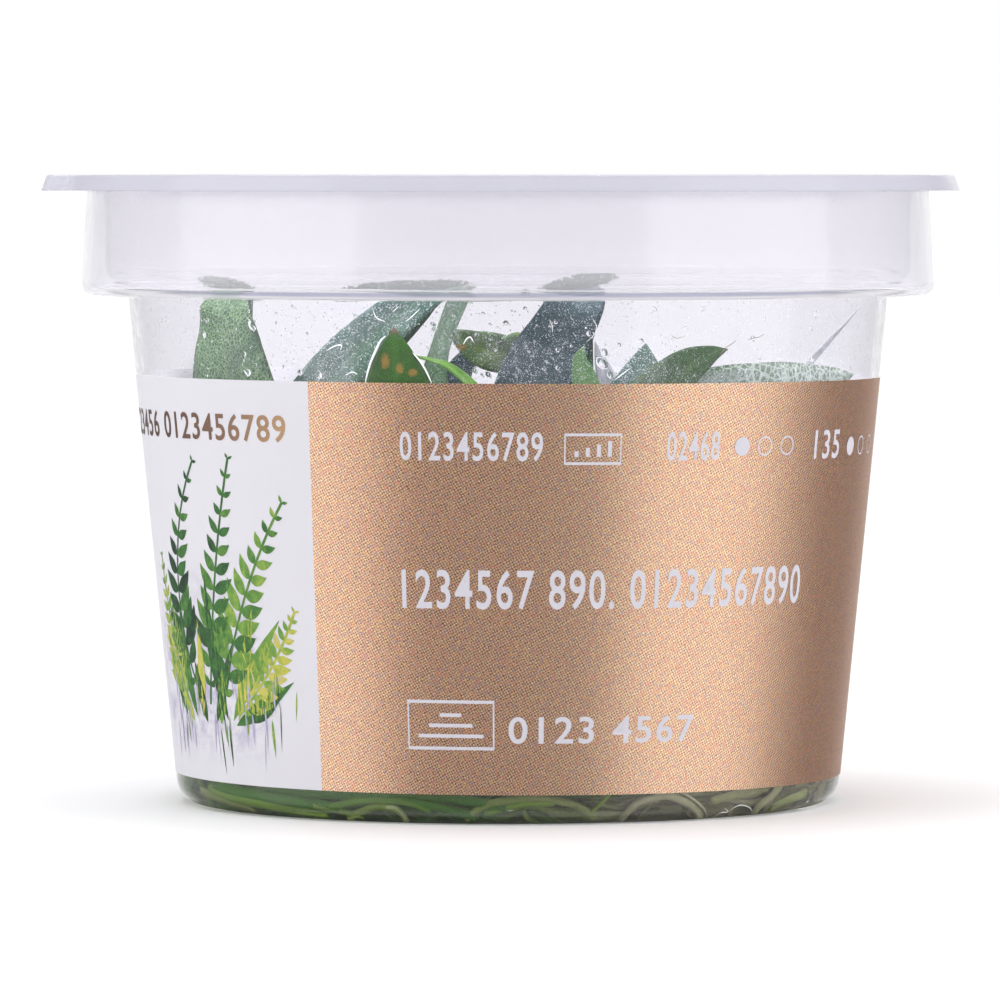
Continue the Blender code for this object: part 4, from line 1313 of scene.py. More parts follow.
# Each leaf's width, the way across its blade, and its blade's midline from neck to tip
leaves = {
    "leaf_1_1": (0.0182, (0.70, -0.71, 0.00), (
        (-0.0240, -0.0226, 0.0220), (-0.0297, -0.0254, 0.0430), (-0.0304, -0.0248, 0.0520),
        (-0.0302, -0.0195, 0.0566))),
    "leaf_1_2": (0.0059, (0.70, -0.10, -0.70), (
        (-0.0268, -0.0130, 0.0350), (-0.0195, -0.0160, 0.0455), (-0.0131, -0.0145, 0.0519),
        (-0.0084, -0.0120, 0.0553), (-0.0050, -0.0060, 0.0566))),
    "leaf_1_3": (0.0140, (-0.20, -0.97, 0.00), (
        (-0.0250, -0.0060, 0.0230), (-0.0315, -0.0040, 0.0350), (-0.0350, -0.0020, 0.0410))),
    "leaf_1_4": (0.0130, (0.90, -0.40, 0.00), (
        (-0.0170, -0.0060, 0.0230), (-0.0145, -0.0010, 0.0350), (-0.0110, 0.0040, 0.0400))),
    "leaf_2_1": (0.0148, (0.95, -0.30, 0.00), (
        (-0.0080, -0.0290, 0.0230), (-0.0111, -0.0362, 0.0380), (-0.0121, -0.0380, 0.0521))),
    "leaf_2_2": (0.0098, (0.30, 0.95, 0.00), (
        (-0.0112, -0.0205, 0.0280), (-0.0091, -0.0225, 0.0440), (-0.0064, -0.0200, 0.0530),
        (-0.0034, -0.0130, 0.0566))),
    "leaf_2_3": (0.0033, (0.25, 0.90, 0.35), (
        (0.0030, -0.0310, 0.0300), (-0.0008, -0.0345, 0.0420), (-0.0031, -0.0362, 0.0452),
        (-0.0065, -0.0370, 0.0481), (-0.0103, -0.0366, 0.0492))),
    "leaf_2_4": (0.0029, (0.97, -0.20, 0.00), (
        (0.0080, -0.0315, 0.0430), (0.0079, -0.0335, 0.0470), (0.0075, -0.0340, 0.0487),
        (0.0079, -0.0345, 0.0501))),
    "leaf_3_1": (0.0084, (0.92, 0.00, -0.38), (
        (-0.0015, -0.0060, 0.0260), (0.0024, -0.0080, 0.0440), (0.0056, -0.0080, 0.0507),
        (0.0076, -0.0070, 0.0542), (0.0098, 0.0030, 0.0567))),
    "leaf_3_2": (0.0044, (0.43, -0.20, 0.90), (
        (0.0018, -0.0020, 0.0482), (-0.0004, -0.0020, 0.0486), (-0.0018, -0.0020, 0.0489),
        (-0.0034, -0.0020, 0.0494), (-0.0049, -0.0020, 0.0502), (-0.0066, -0.0020, 0.0512))),
    "leaf_3_3": (0.0044, (0.95, 0.30, 0.00), (
        (0.0105, -0.0030, 0.0280), (0.0112, -0.0040, 0.0420), (0.0094, -0.0050, 0.0500))),
    "leaf_3_4": (0.0062, (-0.90, -0.30, 0.20), (
        (-0.0020, 0.0080, 0.0250), (-0.0080, 0.0115, 0.0390), (-0.0057, 0.0120, 0.0455),
        (-0.0042, 0.0120, 0.0482), (-0.0026, 0.0120, 0.0508))),
    "leaf_3_5": (0.0130, (-0.70, 0.70, 0.00), (
        (0.0085, 0.0030, 0.0240), (0.0140, 0.0060, 0.0360), (0.0185, 0.0100, 0.0410))),
    "leaf_4_1": (0.0074, (0.50, -0.20, -0.84), (
        (0.0125, -0.0275, 0.0324), (0.0141, -0.0325, 0.0418), (0.0180, -0.0335, 0.0470),
        (0.0210, -0.0328, 0.0490), (0.0230, -0.0317, 0.0497))),
    "leaf_4_2": (0.0094, (0.10, -0.10, 0.99), (
        (0.0090, -0.0338, 0.0402), (0.0200, -0.0312, 0.0428), (0.0270, -0.0275, 0.0437),
        (0.0326, -0.0200, 0.0446), (0.0369, -0.0105, 0.0466))),
    "leaf_4_3": (0.0110, (0.97, -0.20, 0.00), (
        (0.0130, -0.0200, 0.0280), (0.0138, -0.0215, 0.0420), (0.0146, -0.0210, 0.0501))),
    "leaf_4_4": (0.0135, (0.75, 0.66, 0.00), (
        (0.0235, -0.0230, 0.0200), (0.0265, -0.0265, 0.0290), (0.0280, -0.0275, 0.0370))),
    "leaf_4_5": (0.0140, (0.85, -0.50, 0.00), (
        (0.0205, -0.0110, 0.0240), (0.0230, -0.0050, 0.0360), (0.0262, 0.0010, 0.0410))),
    "leaf_5_1": (0.0125, (-0.20, 0.98, 0.00), (
        (-0.0200, 0.0080, 0.0230), (-0.0250, 0.0080, 0.0340), (-0.0300, 0.0080, 0.0400))),
    "leaf_5_2": (0.0080, (-0.65, -0.76, 0.00), (
        (-0.0210, 0.0160, 0.0240), (-0.0290, 0.0160, 0.0420), (-0.0300, 0.0140, 0.0530),
        (-0.0290, 0.0030, 0.0567))),
    "leaf_5_3": (0.0070, (-1.00, 0.10, 0.00), (
        (-0.0140, 0.0250, 0.0240), (-0.0190, 0.0280, 0.0430),
        (-0.0100, 0.0240, 0.0540), (-0.0065, 0.0130, 0.0567))),
    "leaf_5_4": (0.0135, (-0.97, 0.20, 0.00), (
        (0.0005, 0.0260, 0.0220), (0.0030, 0.0325, 0.0324), (0.0050, 0.0350, 0.0410))),
    "leaf_6_1": (0.0076, (-0.95, 0.20, 0.00), (
        (0.0080, 0.0190, 0.0240), (0.0060, 0.0230, 0.0420),
        (0.0066, 0.0205, 0.0530), (0.0080, 0.0090, 0.0567))),
    "leaf_6_2": (0.0145, (-0.68, 0.73, 0.00), (
        (0.0205, 0.0200, 0.0230), (0.0255, 0.0245, 0.0350), (0.0280, 0.0265, 0.0430))),
    "leaf_6_3": (0.0011, (0.60, 0.50, -0.60), (
        (0.0225, 0.0095, 0.0324), (0.0310, 0.0045, 0.0450), (0.0385, 0.0020, 0.0537))),
    "leaf_6_4": (0.0130, (0.20, 0.97, 0.00), (
        (0.0265, 0.0060, 0.0210), (0.0320, 0.0030, 0.0300), (0.0345, 0.0010, 0.0380))),
}


def pressed(point):  # the point, or where the wall or the lid's panel would press it to
    inside = min(wallRadius(point.z) - cup["wall"], lid["panelRadius"]) - leafSizes["pressGap"]
    flat = Vector((point.x, point.y, 0.0))
    if flat.length > inside:
        flat *= inside / flat.length
    return Vector((flat.x, flat.y, min(point.z, lid["panelUnder"] - leafSizes["pressGap"])))


def bladeShare(t):  # the blade's width from neck to tip as a share of its widest
    neck, tip = leafSizes["neckPower"], leafSizes["tipPower"]
    widest = neck / (neck + tip)
    return t**neck * (1 - t) ** tip / (widest**neck * (1 - widest) ** tip)


def leafRings(base, width, across, midline, seed):
    neck = Vector(midline[0])
    lift = base.lerp(neck, leafSizes["petioleLean"])
    lift.z = base.z + (neck.z - base.z) * leafSizes["petioleBend"]
    perSpan = 12
    line = smoothLine([base, lift] + [Vector(place) for place in midline], perSpan)
    split = 2 * perSpan
    petiole = evenly(line[: split + 1], leafSizes["petioleRings"])
    blade = evenly(line[split:], leafSizes["bladeRings"])
    places = petiole[:-1] + blade
    length = sum((b - a).length for a, b in zip(blade, blade[1:]))
    thick, sheet = leafSizes["petioleRadius"], leafSizes["halfSheet"]
    columns = leafSizes["columns"]
    rings = []
    for index, place in enumerate(places):
        ahead = places[min(index + 1, len(places) - 1)] - places[max(index - 1, 0)]
        ahead.normalize()
        side = Vector(across)
        side -= ahead * side.dot(ahead)
        side.normalize()
        up = side.cross(ahead)
        t = min(max(index - leafSizes["petioleRings"], 0) / leafSizes["bladeRings"], 0.997)
        grown = width / 2 * bladeShare(t)
        stalk = thick * (1 - 0.6 * t)
        half = max(stalk, grown) if t < 0.5 else max(grown, 0.05 * mm)
        flat = min(max((half - thick) / (3 * thick), 0.0), 1.0) if t < 0.5 else 1.0
        ring = []
        for face in (1, -1):
            for column in range(columns + 1)[::face]:
                if face < 0 and column in (0, columns):
                    continue
                even = 2 * column / columns - 1
                v = math.copysign(abs(even) ** (1 + 0.3 * flat), even)
                bulge = math.sqrt(max(1 - v * v, 0.0))
                height = sheet * (1 - v * v) ** 0.3 * flat * (0.5 + 0.5 * (1 - t))
                height += thick * bulge * (1 - flat)
                rib = math.exp(-((v * half / leafSizes["veinPitch"]) ** 2)) * flat * (1 - t)
                lifted = face * height - leafSizes["rib"][face < 0] * rib
                fold = leafSizes["fold"] * abs(v) * half * flat
                wave = leafSizes["wave"] * half * v * v * flat * math.sin(t * 17 + seed + v)
                veins = (t * length - abs(v) * half * 0.8) / leafSizes["veinPitch"]
                quilt = leafSizes["quilt"] * flat * math.sin(veins) * bulge
                spot = pressed(place + side * v * half + up * (fold + wave)) + up * (lifted + quilt)
                ring.append((spot, (t * length, v * half, t if index >= leafSizes["petioleRings"] else -0.1)))
        rings.append(ring)
    return rings


leafLooks = {  # greens from dark to light; spots of brown, net and specks of fog: shares
    "deep": {"greens": ((0.010, 0.040, 0.026), (0.018, 0.065, 0.036), (0.050, 0.125, 0.040))},
    "netted": {
        "greens": ((0.020, 0.075, 0.038), (0.045, 0.130, 0.045), (0.08, 0.20, 0.05)),
        "net": 0.60, "specks": 0.2,
    },
    "teal": {
        "greens": ((0.024, 0.078, 0.072), (0.042, 0.118, 0.096), (0.078, 0.178, 0.105)),
        "specks": 0.95, "net": 0.12,
    },
    "moss": {
        "greens": ((0.025, 0.090, 0.032), (0.045, 0.145, 0.052), (0.08, 0.21, 0.07)),
        "specks": 0.8, "net": 0.20,
    },
    "fresh": {"greens": ((0.045, 0.150, 0.010), (0.090, 0.250, 0.020), (0.20, 0.38, 0.05))},
    "bud": {"greens": ((0.08, 0.20, 0.07), (0.14, 0.29, 0.11), (0.24, 0.42, 0.17)), "specks": 0.9},
    "spotted": {"greens": ((0.016, 0.088, 0.002), (0.032, 0.135, 0.003), (0.06, 0.20, 0.008)), "spots": 1.0},
    "brown": {
        "greens": ((0.013, 0.052, 0.014), (0.032, 0.090, 0.022), (0.075, 0.155, 0.04)), "specks": 0.4,
    },
    "olive": {
        "greens": ((0.040, 0.095, 0.045), (0.080, 0.165, 0.045), (0.17, 0.26, 0.05)),
        "spots": 1.0, "specks": 0.6,
    },
    "bubbled": {
        "greens": ((0.04, 0.09, 0.05), (0.08, 0.15, 0.08), (0.13, 0.22, 0.12)), "specks": 0.6, "net": 1.0,
        "netCell": 0.8 * mm, "netColour": (0.56, 0.64, 0.56),
    },
    "pale": {"greens": ((0.40, 0.41, 0.46), (0.50, 0.51, 0.57), (0.60, 0.61, 0.67))},
    "faint": {"greens": ((0.55, 0.56, 0.61), (0.61, 0.62, 0.67), (0.67, 0.68, 0.73)), "specks": 0.5},
    # painted shade: dark blue-grey for leaves whose undersides lie in shadow
    "slate": {
        "greens": ((0.018, 0.040, 0.052), (0.030, 0.062, 0.078), (0.050, 0.092, 0.102)), "specks": 0.66,
    },
}
leafFog = {
    "netCell": 0.45 * mm,
    "netColour": (0.41, 0.59, 0.33),
    "speckCell": 0.21 * mm,
    "speckColour": (0.82, 0.87, 0.90),
}
leafMarks = {
    "vein": 1.9 * mm,  # pitch along the midrib
    "fineVein": 0.48 * mm,
    "veinSlant": 0.8,
    "rib": (0.1 * mm, 0.6 * mm),  # half width, and where it has faded out
    "patch": 6 * mm,
    "grain": 0.5 * mm,
    "spot": (0.40, 0.20, 0.03),
    "tip": (0.13, 0.07, 0.04),
    "relief": 0.06 * mm,
}
leafSpots = (  # brown spots: place across and up, half sizes, in millimetres
    (-12.8, 48.6, 0.45, 0.85), (-11.3, 47.8, 0.42, 0.55), (-9.9, 47.4, 0.5, 0.4), (-5.2, 49.3, 0.75, 0.4),
)
leafLookOf = {
    "leaf_1_1": "netted", "leaf_1_2": "teal", "leaf_2_1": "spotted", "leaf_2_3": "fresh", "leaf_2_4": "bud",
    "leaf_2_2": "moss", "leaf_3_1": "slate", "leaf_3_2": "olive", "leaf_3_3": "pale", "leaf_3_4": "slate",
    "leaf_4_1": "brown", "leaf_4_2": "bubbled", "leaf_4_3": "teal", "leaf_6_3": "faint",
}


def leafFinish(name):
    look = leafLooks[name]
    dark, middle, light = look["greens"]
    finish = Finish("leaf" + name.capitalize())
    place = finish.place()
    along, aside, t = finish.parts(finish.attribute("blade"))
    away = abs(aside)
    vein = abs(((along - leafMarks["veinSlant"] * away) / leafMarks["vein"]) % 1.0 - 0.5) * 2
    vein = finish.step(vein, 0.75, 1.0) * finish.step(away, 0.1 * mm, 0.8 * mm)
    fine = abs(((along - leafMarks["veinSlant"] * away) / leafMarks["fineVein"]) % 1.0 - 0.5) * 2
    rib = 1 - finish.step(away, *leafMarks["rib"])
    patches = finish.noise(place, leafMarks["patch"], 3.0, 0.6)
    grain = finish.noise(place, leafMarks["grain"], 3.0, 0.7)
    colour = finish.ramp(patches + 0.35 * (grain - 0.5), [(0.25, dark), (0.5, middle), (0.8, light)])
    colour = finish.mixed(0.35 * vein + 0.55 * rib, colour, light)
    # painted shade: the blade darker towards its tip, where light from above falls on it; fine veins darker
    # too
    colour = finish.mixed(0.15 * fine + 0.3 * finish.step(t, 0.45, 0.8), colour, dark)
    if "spots" in look:
        x, _, z = finish.parts(place)
        for acrossAt, upAt, wide, tall in leafSpots:
            far = ((x - acrossAt * mm) / (wide * mm)) ** 2.0 + ((z - upAt * mm) / (tall * mm)) ** 2.0
            blotch = 1 - finish.step(far + 2.5 * (grain - 0.5), 0.0, 1.6)
            colour = finish.mixed(look["spots"] * 0.7 * blotch, colour, leafMarks["spot"])
        colour = finish.mixed(finish.step(t, 0.972, 0.99), colour, leafMarks["tip"])
    if "net" in look:
        netCell, netColour = (look.get(key, leafFog[key]) for key in ("netCell", "netColour"))
        edge = finish.cells(place, netCell, "DISTANCE_TO_EDGE")
        share = (1 - finish.step(edge, 0.02, 0.17)) * finish.step(patches, 0.25, 0.6)
        colour = finish.mixed(look["net"] * share, colour, netColour)
    if "specks" in look:
        wet = 1 - finish.step(finish.cells(place, leafFog["speckCell"]), 0.16, 0.38)
        few = 0.52 - 0.20 * look["specks"]
        wet = wet * finish.step(finish.noise(place, 0.8 * mm, 2.0, 0.6), few, few + 0.18)
        colour = finish.mixed(look["specks"] * wet, colour, leafFog["speckColour"])
    stalk = 1 - finish.step(t, -0.05, 0.02)
    colour = finish.mixed(0.6 * stalk, colour, light)
    relief = 0.5 * vein + 0.2 * fine + 0.3 * grain
    sockets = {
        "Base Color": colour,
        "Roughness": 0.30 + 0.2 * patches,
        "Specular IOR Level": 0.15,
        "Normal": finish.bump(relief, leafMarks["relief"]),
    }
    return finish.done(finish.principled(sockets))


def makeLeaves():
    finishes = {name: leafFinish(name) for name in leafLooks}
    for number, stem in enumerate(plants["stems"], 1):
        names = [name for name in leaves if name.startswith(f"leaf_{number}_")]
        (x, y), bearing, _ = stem
        baseHeight = gel["top"] + plants["stemRise"] + plants["stemRadius"] * 0.6
        for index, name in enumerate(names):
            share = (index / (len(names) - 1) - 0.5) * leafSizes["petioleSpread"]
            base = Vector((x, y, baseHeight)) + heading(bearing) * share * plants["stemLength"]
            builder = Builder()
            builder.loft(leafRings(base, *leaves[name], seed=number * 1.7 + index))
            mesh = builder.mesh(name, "blade")
            facedOut(mesh)
            look = finishes[leafLookOf.get(name, "deep")]
            piece(name.replace("leaf_", "leafBlade_"), mesh, [look], [name])


# Fog and drops, with painted reflections, painted highlights and painted shade lines

fog = {
    "gap": 0.05 * mm,  # inside the cup's inner wall
    "cellColour": (0.50, 0.64, 0.46),
    "dotColour": (0.84, 0.88, 0.95),
    "cell": 0.45 * mm,
    "dot": 0.22 * mm,
    "thickest": 0.95,  # alpha
    "belowLabel": 2 * mm,
    "rows": 44,
    "azimuths": 720,
}
fogPatches = (  # bearing from the front, height, half sizes in millimetres, lean, cells, dots, haze
    (-49.0, 50.0, 6.2, 7.0, 0, 0.1, 0.1, 0.02),
    (-46.0, 54.6, 4.8, 1.0, 0, 0.2, 0.5, 0.03),
    (-25, 54.3, 3.4, 1.2, 0, 0.0, 0.7, 0.22),
    (-22, 51.5, 3.4, 7.0, -52, 0.0, 0.5, 0.08),
    (-28, 47.5, 3.6, 3.2, 0, 0.2, 0.8, 0.10),
    (-10, 51.0, 1.8, 5.5, -28, 0.2, 0.5, 0.06),
    (-1, 50.0, 3.6, 2.2, -20, 0.0, 0.7, 0.06),
    (9, 52.5, 3.2, 3.0, -28, 0.0, 0.6, 0.02),
    (4, 48.2, 4.4, 2.6, 0, 0.0, 0.9, 0.04),
    (21, 48.0, 2.6, 3.2, 0, 0.1, 0.8, 0.06),
    (24, 47.0, 3.6, 2.0, -20, 0.0, 0.8, 0.02),
    (49, 46.8, 13.0, 1.9, 3, 0.3, 0.9, 0.12),
    (66, 51.5, 1.2, 6.5, -52, 0.0, 0.3, 0.04),
    (16, 49.0, 1.6, 3.2, 30, 0.1, 0.7, 0.10),
)
mirroredTipPatches = (  # painted reflection: green above the ledge, where leaf tips are mirrored in the collar: as above, with the share
    (-41.0, 56.55, 3.8, 0.75, -8, 1.0),
    (-13.5, 56.50, 6.2, 0.62, 3, 1.0),
    (9.3, 56.85, 3.9, 0.9, 13, 1.0),
)
clearPatches = (  # where wet leaf lies on the wall: bearing, height, half sizes, lean
    (-17.5, 46.6, 4.9, 5.2, 0),
    (-8.0, 48.6, 3.6, 0.9, 30),
    (31, 49.4, 2.9, 1.9, -20),
)
# painted reflection of the leaf tips: dark green blots on a film inside the collar
smear = {
    "low": 56.15 * mm,
    "high": 57.8 * mm,
    "gap": 0.2 * mm,
    "rows": 8,
    "blot": 0.32 * mm,
    "colours": ((0.01, 0.03, 0.025), (0.06, 0.12, 0.09)),
}


def inPatch(bearing, z, patch):  # 1 well inside a slanting patch, 0 outside
    middle, height, wide, tall, lean = patch[:5]
    turn = (bearing - 270 - middle + 180) % 360 - 180
    across = math.radians(turn) * label["middleRadius"] / mm
    up = z / mm - height
    c, n = math.cos(math.radians(lean)), math.sin(math.radians(lean))
    u, v = across * c + up * n, up * c - across * n
    return 1 - smoothStep((math.hypot(u / wide, v / tall) - 0.75) / 0.4)


def fogAt(bearing, z):
    cells = dots = haze = 0.0
    for patch in fogPatches:
        share = inPatch(bearing, z, patch)
        cells, dots, haze = (max(old, share * new) for old, new in zip((cells, dots, haze), patch[5:]))
    clear = 1.0
    for patch in clearPatches:
        clear = min(clear, 1 - inPatch(bearing, z, patch))
    return cells * clear, dots * clear, haze * clear


def filmMesh(name, low, high, rows, radiusOf, noteAt):  # a film inside the wall, with notes for the shader
    azimuths = evenAzimuths(fog["azimuths"])
    heights = [low + (high - low) * row / rows for row in range(rows + 1)]
    mesh = turned(name, [(radiusOf(z), z) for z in heights], azimuths)
    noted(mesh, name, [noteAt(azimuth, z) for z in heights for azimuth in azimuths])
    return mesh


def makeFog():
    inset = cup["wall"] + fog["gap"]
    low, high = label["top"] - fog["belowLabel"], cup["shoulderHeight"] + cup["wall"] * 0.5
    mesh = filmMesh("fog", low, high, fog["rows"], lambda z: wallRadius(z) - inset, fogAt)
    piece("fogOnWall", mesh, [fogFinish()])


def fogFinish():
    finish = Finish("wallFog")
    place = finish.place()
    cells, dots, haze = finish.parts(finish.attribute("fog"))
    edge = finish.cells(place, fog["cell"], "DISTANCE_TO_EDGE")
    lines = 1 - finish.step(edge, 0.02, 0.14)
    spots = 1 - finish.step(finish.cells(place, fog["dot"]), 0.12, 0.38)
    kept = finish.step(finish.noise(place, 0.9 * mm, 2.0), 0.42, 0.62)
    patchy = 0.5 + finish.noise(place, 3 * mm, 2.0)
    alpha = cells * lines * (0.15 + 0.35 * patchy) + dots * spots * kept * 0.9 + haze * patchy
    sockets = {
        "Base Color": finish.mixed(cells * lines, fog["dotColour"], fog["cellColour"]),
        "Roughness": 0.6,
        "Alpha": finish.smaller(alpha, fog["thickest"]),
    }
    return finish.done(finish.principled(sockets))


def mirroredTipsAt(bearing, z):
    return max(inPatch(bearing, z, patch) * patch[5] for patch in mirroredTipPatches), 0, 0


def makeMirroredTips():
    radius = cup["collarLowRadius"] - cup["wall"] - smear["gap"]
    mesh = filmMesh("smear", smear["low"], smear["high"], smear["rows"], lambda z: radius, mirroredTipsAt)
    piece("paintedReflectionsOnCollar", mesh, [mirroredTipsFinish()])


def mirroredTipsFinish():
    # painted reflection: dark green blots where leaf tips are mirrored
    finish = Finish("paintedLeafReflection")
    place = finish.place()
    share = finish.parts(finish.attribute("smear"))[0]
    specks = finish.step(finish.noise(place, smear["blot"], 3.0, 0.8) + 0.30 * (share - 1), 0.33, 0.44)
    alpha = specks * finish.step(share, 0.02, 0.3)
    colour = finish.mixed(finish.noise(place, 0.5 * mm), *smear["colours"])
    return finish.done(finish.principled({"Base Color": colour, "Roughness": 0.6, "Alpha": alpha}))


paintedWallLines = (  # painted highlights and painted shade lines along wet edges on the wall: tone, radius in millimetres, and bearings from the front and heights; 1 is white, a painted highlight, 0 dark, a painted shade line
    (1.0, 0.17, ((-18.7, 51.2), (-19.54, 50.67), (-20.39, 49.62), (-21.46, 48.05), (-22.3, 46.2))),
    (0.0, 0.08, ((-19.1, 50.5), (-20.0, 49.4), (-21.0, 47.9), (-21.9, 46.2))),
    (1.0, 0.13, ((-14.5, 49.5), (-13.4, 48.6), (-12.5, 47.57), (-11.6, 46.2))),
    (0.0, 0.09, ((-15.3, 49.7), (-14.0, 48.6), (-13.1, 47.57), (-12.2, 46.2))),
    (0.2, 0.26, ((-18.2, 51.62), (-17.5, 51.75))),
    (1.0, 0.10, ((-28.39, 49.68), (-27.15, 50.1), (-25.96, 50.22), (-26.15, 49.7))),
    (1.0, 0.09, ((-25.51, 47.08), (-24.31, 47.41), (-23.48, 47.2))),
    (1.0, 0.07, ((-20.6, 54.0), (-20.0, 53.1), (-18.6, 52.7))),
    (1.0, 0.07, ((-17.5, 53.7), (-16.5, 54.3))),
    (1.0, 0.07, ((-15.5, 52.7), (-14.4, 53.3), (-13.2, 54.1))),
    (1.0, 0.10, ((-6.74, 50.39), (-6.28, 50.92), (-5.68, 51.12), (-5.23, 50.6))),
    (0.8, 0.06, ((6.1, 52.89), (6.56, 52.27), (6.57, 51.64))),
    (0.8, 0.06, ((12.58, 53.09), (13.22, 52.25), (12.94, 51.42), (11.74, 50.59))),
    (1.0, 0.07, ((16.24, 46.62), (17.48, 47.24), (18.72, 47.86))),
    (1.0, 0.09, ((-43.06, 52.6), (-42.72, 51.98), (-41.94, 51.56))),
    (1.0, 0.08, ((-54.01, 51.23), (-53.58, 50.71))),
    (1.0, 0.08, ((-44.68, 47.43), (-43.9, 46.7))),
    (0.3, 0.05, ((25.21, 51.26), (26.07, 50.95), (27.41, 51.15))),
    (0.3, 0.05, ((39.0, 50.64), (39.98, 50.84), (41.19, 50.94), (42.6, 51.35))),
    (0.25, 0.11, ((33.9, 49.1), (35.0, 49.94))),
    (0.25, 0.06, ((35.0, 49.94), (35.94, 50.25), (36.85, 50.66))),
    (0.1, 0.06, ((-27.5, 54.9), (-25.0, 54.8), (-20.6, 54.93))),
    (0.1, 0.06, ((-10.1, 54.96), (-5.6, 54.86), (-1.2, 54.9), (1.0, 54.97))),
    (0.1, 0.05, ((3.5, 54.97), (6.0, 54.88), (8.4, 54.86))),
    (0.1, 0.05, ((-53.0, 54.78), (-46.7, 54.85), (-40.0, 54.78))),
)
paintedHeelLines = (  # the same painted highlights, on the gel's heel
    (1.0, 0.09, ((41.0, 0.35), (41.2, 0.71), (42.9, 0.77), (41.4, 1.16))),
    (1.0, 0.09, ((43.1, 0.76), (43.8, 1.19), (45.4, 1.35), (47.8, 1.05), (49.8, 0.63))),
    (1.0, 0.07, ((51.3, 0.45), (50.9, 0.93))),
    (1.0, 0.12, ((67.6, 1.01), (68.4, 1.03))),
)


paintedLineLook = {
    "wallGap": 0.12 * mm,
    "heelGap": 0.04 * mm,
    "sides": 6,
    "colours": ((0.0, (0.04, 0.05, 0.03)), (0.3, (0.16, 0.13, 0.08)), (1.0, (1.0, 1.0, 1.0))),
    "paintedGlow": 0.25,  # painted highlight: the white ones give off light, standing in for where they catch the light
}


def wallSpot(bearing, z, back):  # on the cup's inner wall, that far inside it
    return heading(bearing - 90) * (wallRadius(z) - cup["wall"] - back) + Vector((0, 0, z))


def makePaintedLines():
    # painted highlights and painted shade lines, as thin tubes on the wall and the gel's heel
    builder = Builder()
    for table, spotAt, gap in ((paintedWallLines, wallSpot, "wallGap"), (paintedHeelLines, heelSpot, "heelGap")):
        for tone, radius, spots in table:
            path = smoothLine([spotAt(bearing, z * mm, paintedLineLook[gap]) for bearing, z in spots], 6)
            last = len(path) - 1
            swell = [0.2 + 0.55 * math.sin(math.pi * index / last) ** 0.6 for index in range(last + 1)]
            builder.tube(path, [radius * mm * share for share in swell], paintedLineLook["sides"], (tone, 0.0, 0.0))
    piece("paintedLinesOnWall", builder.mesh("paintedLineTubes", "tone"), [paintedLineFinish()])


def paintedLineFinish():
    finish = Finish("paintedLineTubes")
    tone = finish.parts(finish.attribute("tone"))[0]
    sockets = {
        "Base Color": finish.ramp(tone, paintedLineLook["colours"]),
        "Roughness": 0.3,
        # painted highlight: the white lines give off light, though they are no lamp
        "Emission Color": finish.ramp(tone, [(0.5, (0.0, 0.0, 0.0)), (1.0, (1.0, 1.0, 1.0))]),
        "Emission Strength": paintedLineLook["paintedGlow"],
    }
    return finish.done(finish.principled(sockets))


drops = {
    "count": 5200,
    "radius": 0.055 * mm,
    "spread": 0.55,  # how much they vary
    "largest": 0.42 * mm,
    "flat": 0.55,  # height by radius
    "seed": 11,
    "heights": (46.5, 55.6),  # in millimetres
    "underLid": 120,
    "gap": 0.01 * mm,
    "edgeGap": 1.5 * mm,  # from the panel's edge
    "rings": ((0.0, 1.0), (0.55, 0.86), (0.88, 0.5)),  # each one's height and radius, as shares
    "sides": 8,
    "wobble": 0.14,
}
bigDrops = (  # bearing from the front, height and radius in millimetres
    (14.5, 49.5, 0.42), (14.2, 48.4, 0.62), (15.5, 47.2, 0.36), (2.5, 55.6, 0.5), (30.3, 54.0, 0.3),
    (-0.4, 52.6, 0.3), (20.2, 50.7, 0.28), (22.2, 54.0, 0.26), (40.0, 50.8, 0.3), (-53.5, 51.0, 0.3),
    (-42.9, 52.5, 0.34), (-41.9, 51.9, 0.28), (-43.8, 47.2, 0.4), (12.0, 51.5, 0.26), (16.8, 50.3, 0.22),
    (27.5, 52.0, 0.2), (-30.0, 47.1, 0.4), (-33.4, 47.3, 0.3), (-3.0, 47.2, 0.35), (-5.0, 47.6, 0.28),
)


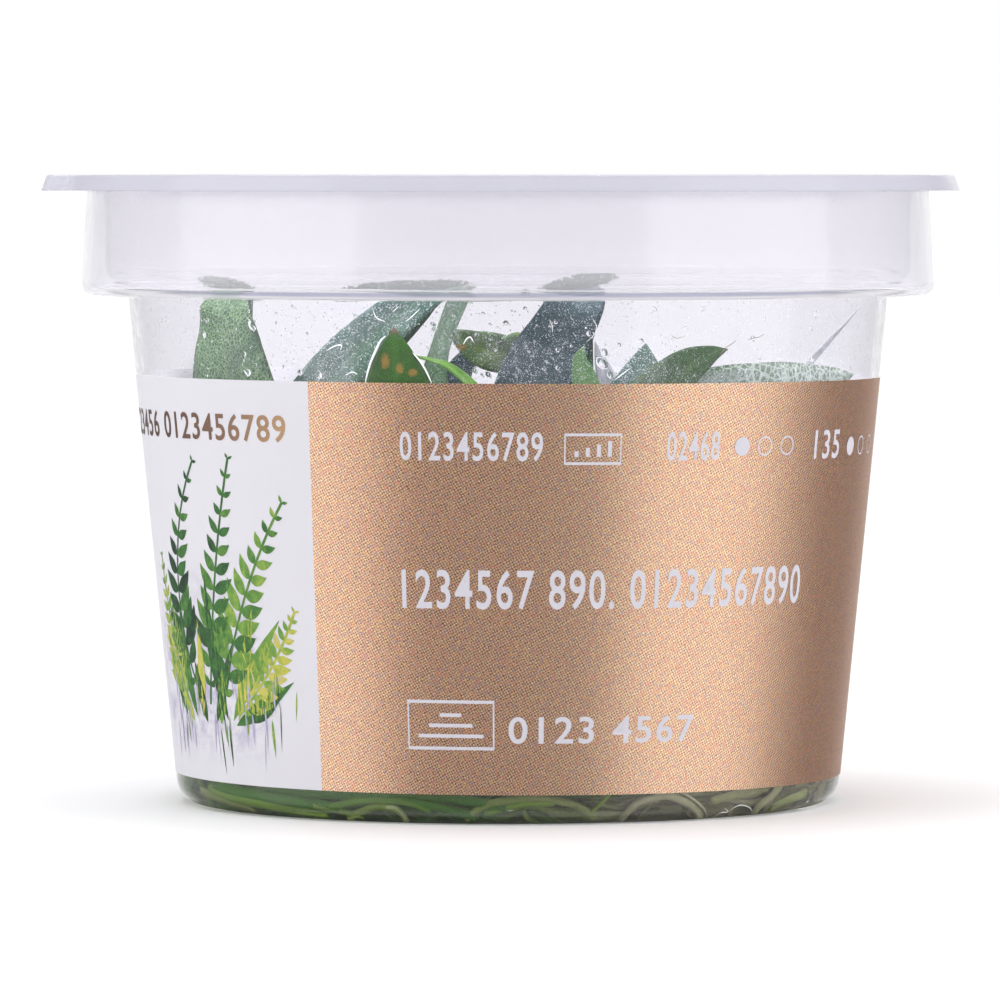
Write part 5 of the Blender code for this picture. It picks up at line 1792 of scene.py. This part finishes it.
def makeDrops():
    dice = random.Random(drops["seed"])
    builder = Builder()

    def dome(place, out, radius, stretch=1.0):
        out = out.normalized()
        side = out.orthogonal().normalized()
        up = out.cross(side)
        if abs(side.z) > abs(up.z):
            side, up = up, side
        rows = []
        phase = dice.uniform(0, 6)
        sides, high = drops["sides"], out * radius * drops["flat"]
        for lift, size in drops["rings"]:
            row = []
            for corner in range(sides):
                turn = 2 * math.pi * corner / sides
                wobble = 1 + drops["wobble"] * math.sin(2 * turn + phase)
                flat = side * math.cos(turn) + up * math.sin(turn) * stretch
                row.append(builder.point(place + flat * radius * size * wobble + high * lift))
            rows.append(row)
        top = builder.point(place + high)
        builder.faces += bands(rows)
        builder.faces += [(rows[-1][a], rows[-1][(a + 1) % sides], top) for a in range(sides)]

    def onWall(bearing, z, radius, stretch):
        dome(wallSpot(bearing + 90, z, drops["gap"]), -heading(bearing), radius, stretch)

    def thrown(radius):
        return min(radius * math.exp(dice.gauss(0, drops["spread"])), drops["largest"])

    for _ in range(drops["count"]):
        z = dice.uniform(*drops["heights"]) * mm
        bearing = dice.uniform(0, 360)
        radius = thrown(drops["radius"])
        if any(inPatch(bearing, z, patch) > 0.5 for patch in clearPatches):
            continue
        onWall(bearing, z, radius, dice.uniform(0.9, 1.4))
    for bearing, z, radius in bigDrops:
        onWall(270 + bearing, z * mm, radius * mm, 1.2)
    for _ in range(drops["underLid"]):
        reach = (lid["panelRadius"] - drops["edgeGap"]) * math.sqrt(dice.random())
        spot = heading(dice.uniform(0, 360)) * reach + Vector((0, 0, lid["panelUnder"] - drops["gap"]))
        dome(spot, Vector((0, 0, -1)), thrown(2 * drops["radius"]))
    piece("dropsInside", builder.mesh("drops"), [waterFinish()])


def waterFinish():
    finish = Finish("dropWater")
    sockets = {"Base Color": (0.97, 0.98, 0.99), "Roughness": 0.0, "IOR": 1.33, "Transmission Weight": 1.0}
    return finish.done(finish.pane(finish.principled(sockets)))


makeCamera()
makeStudio()
makeFloor()
print("studio ready")
makeCup()
makeLid()
print("cup and lid ready")
makeLabel()
makePrints()
makeFronds()
makeGel()
makeRhizomes()
print("label, gel and roots ready")
makeLeaves()
print("leaves ready")
makeFog()
makeMirroredTips()
makePaintedLines()
makeDrops()
print("fog and drops ready")
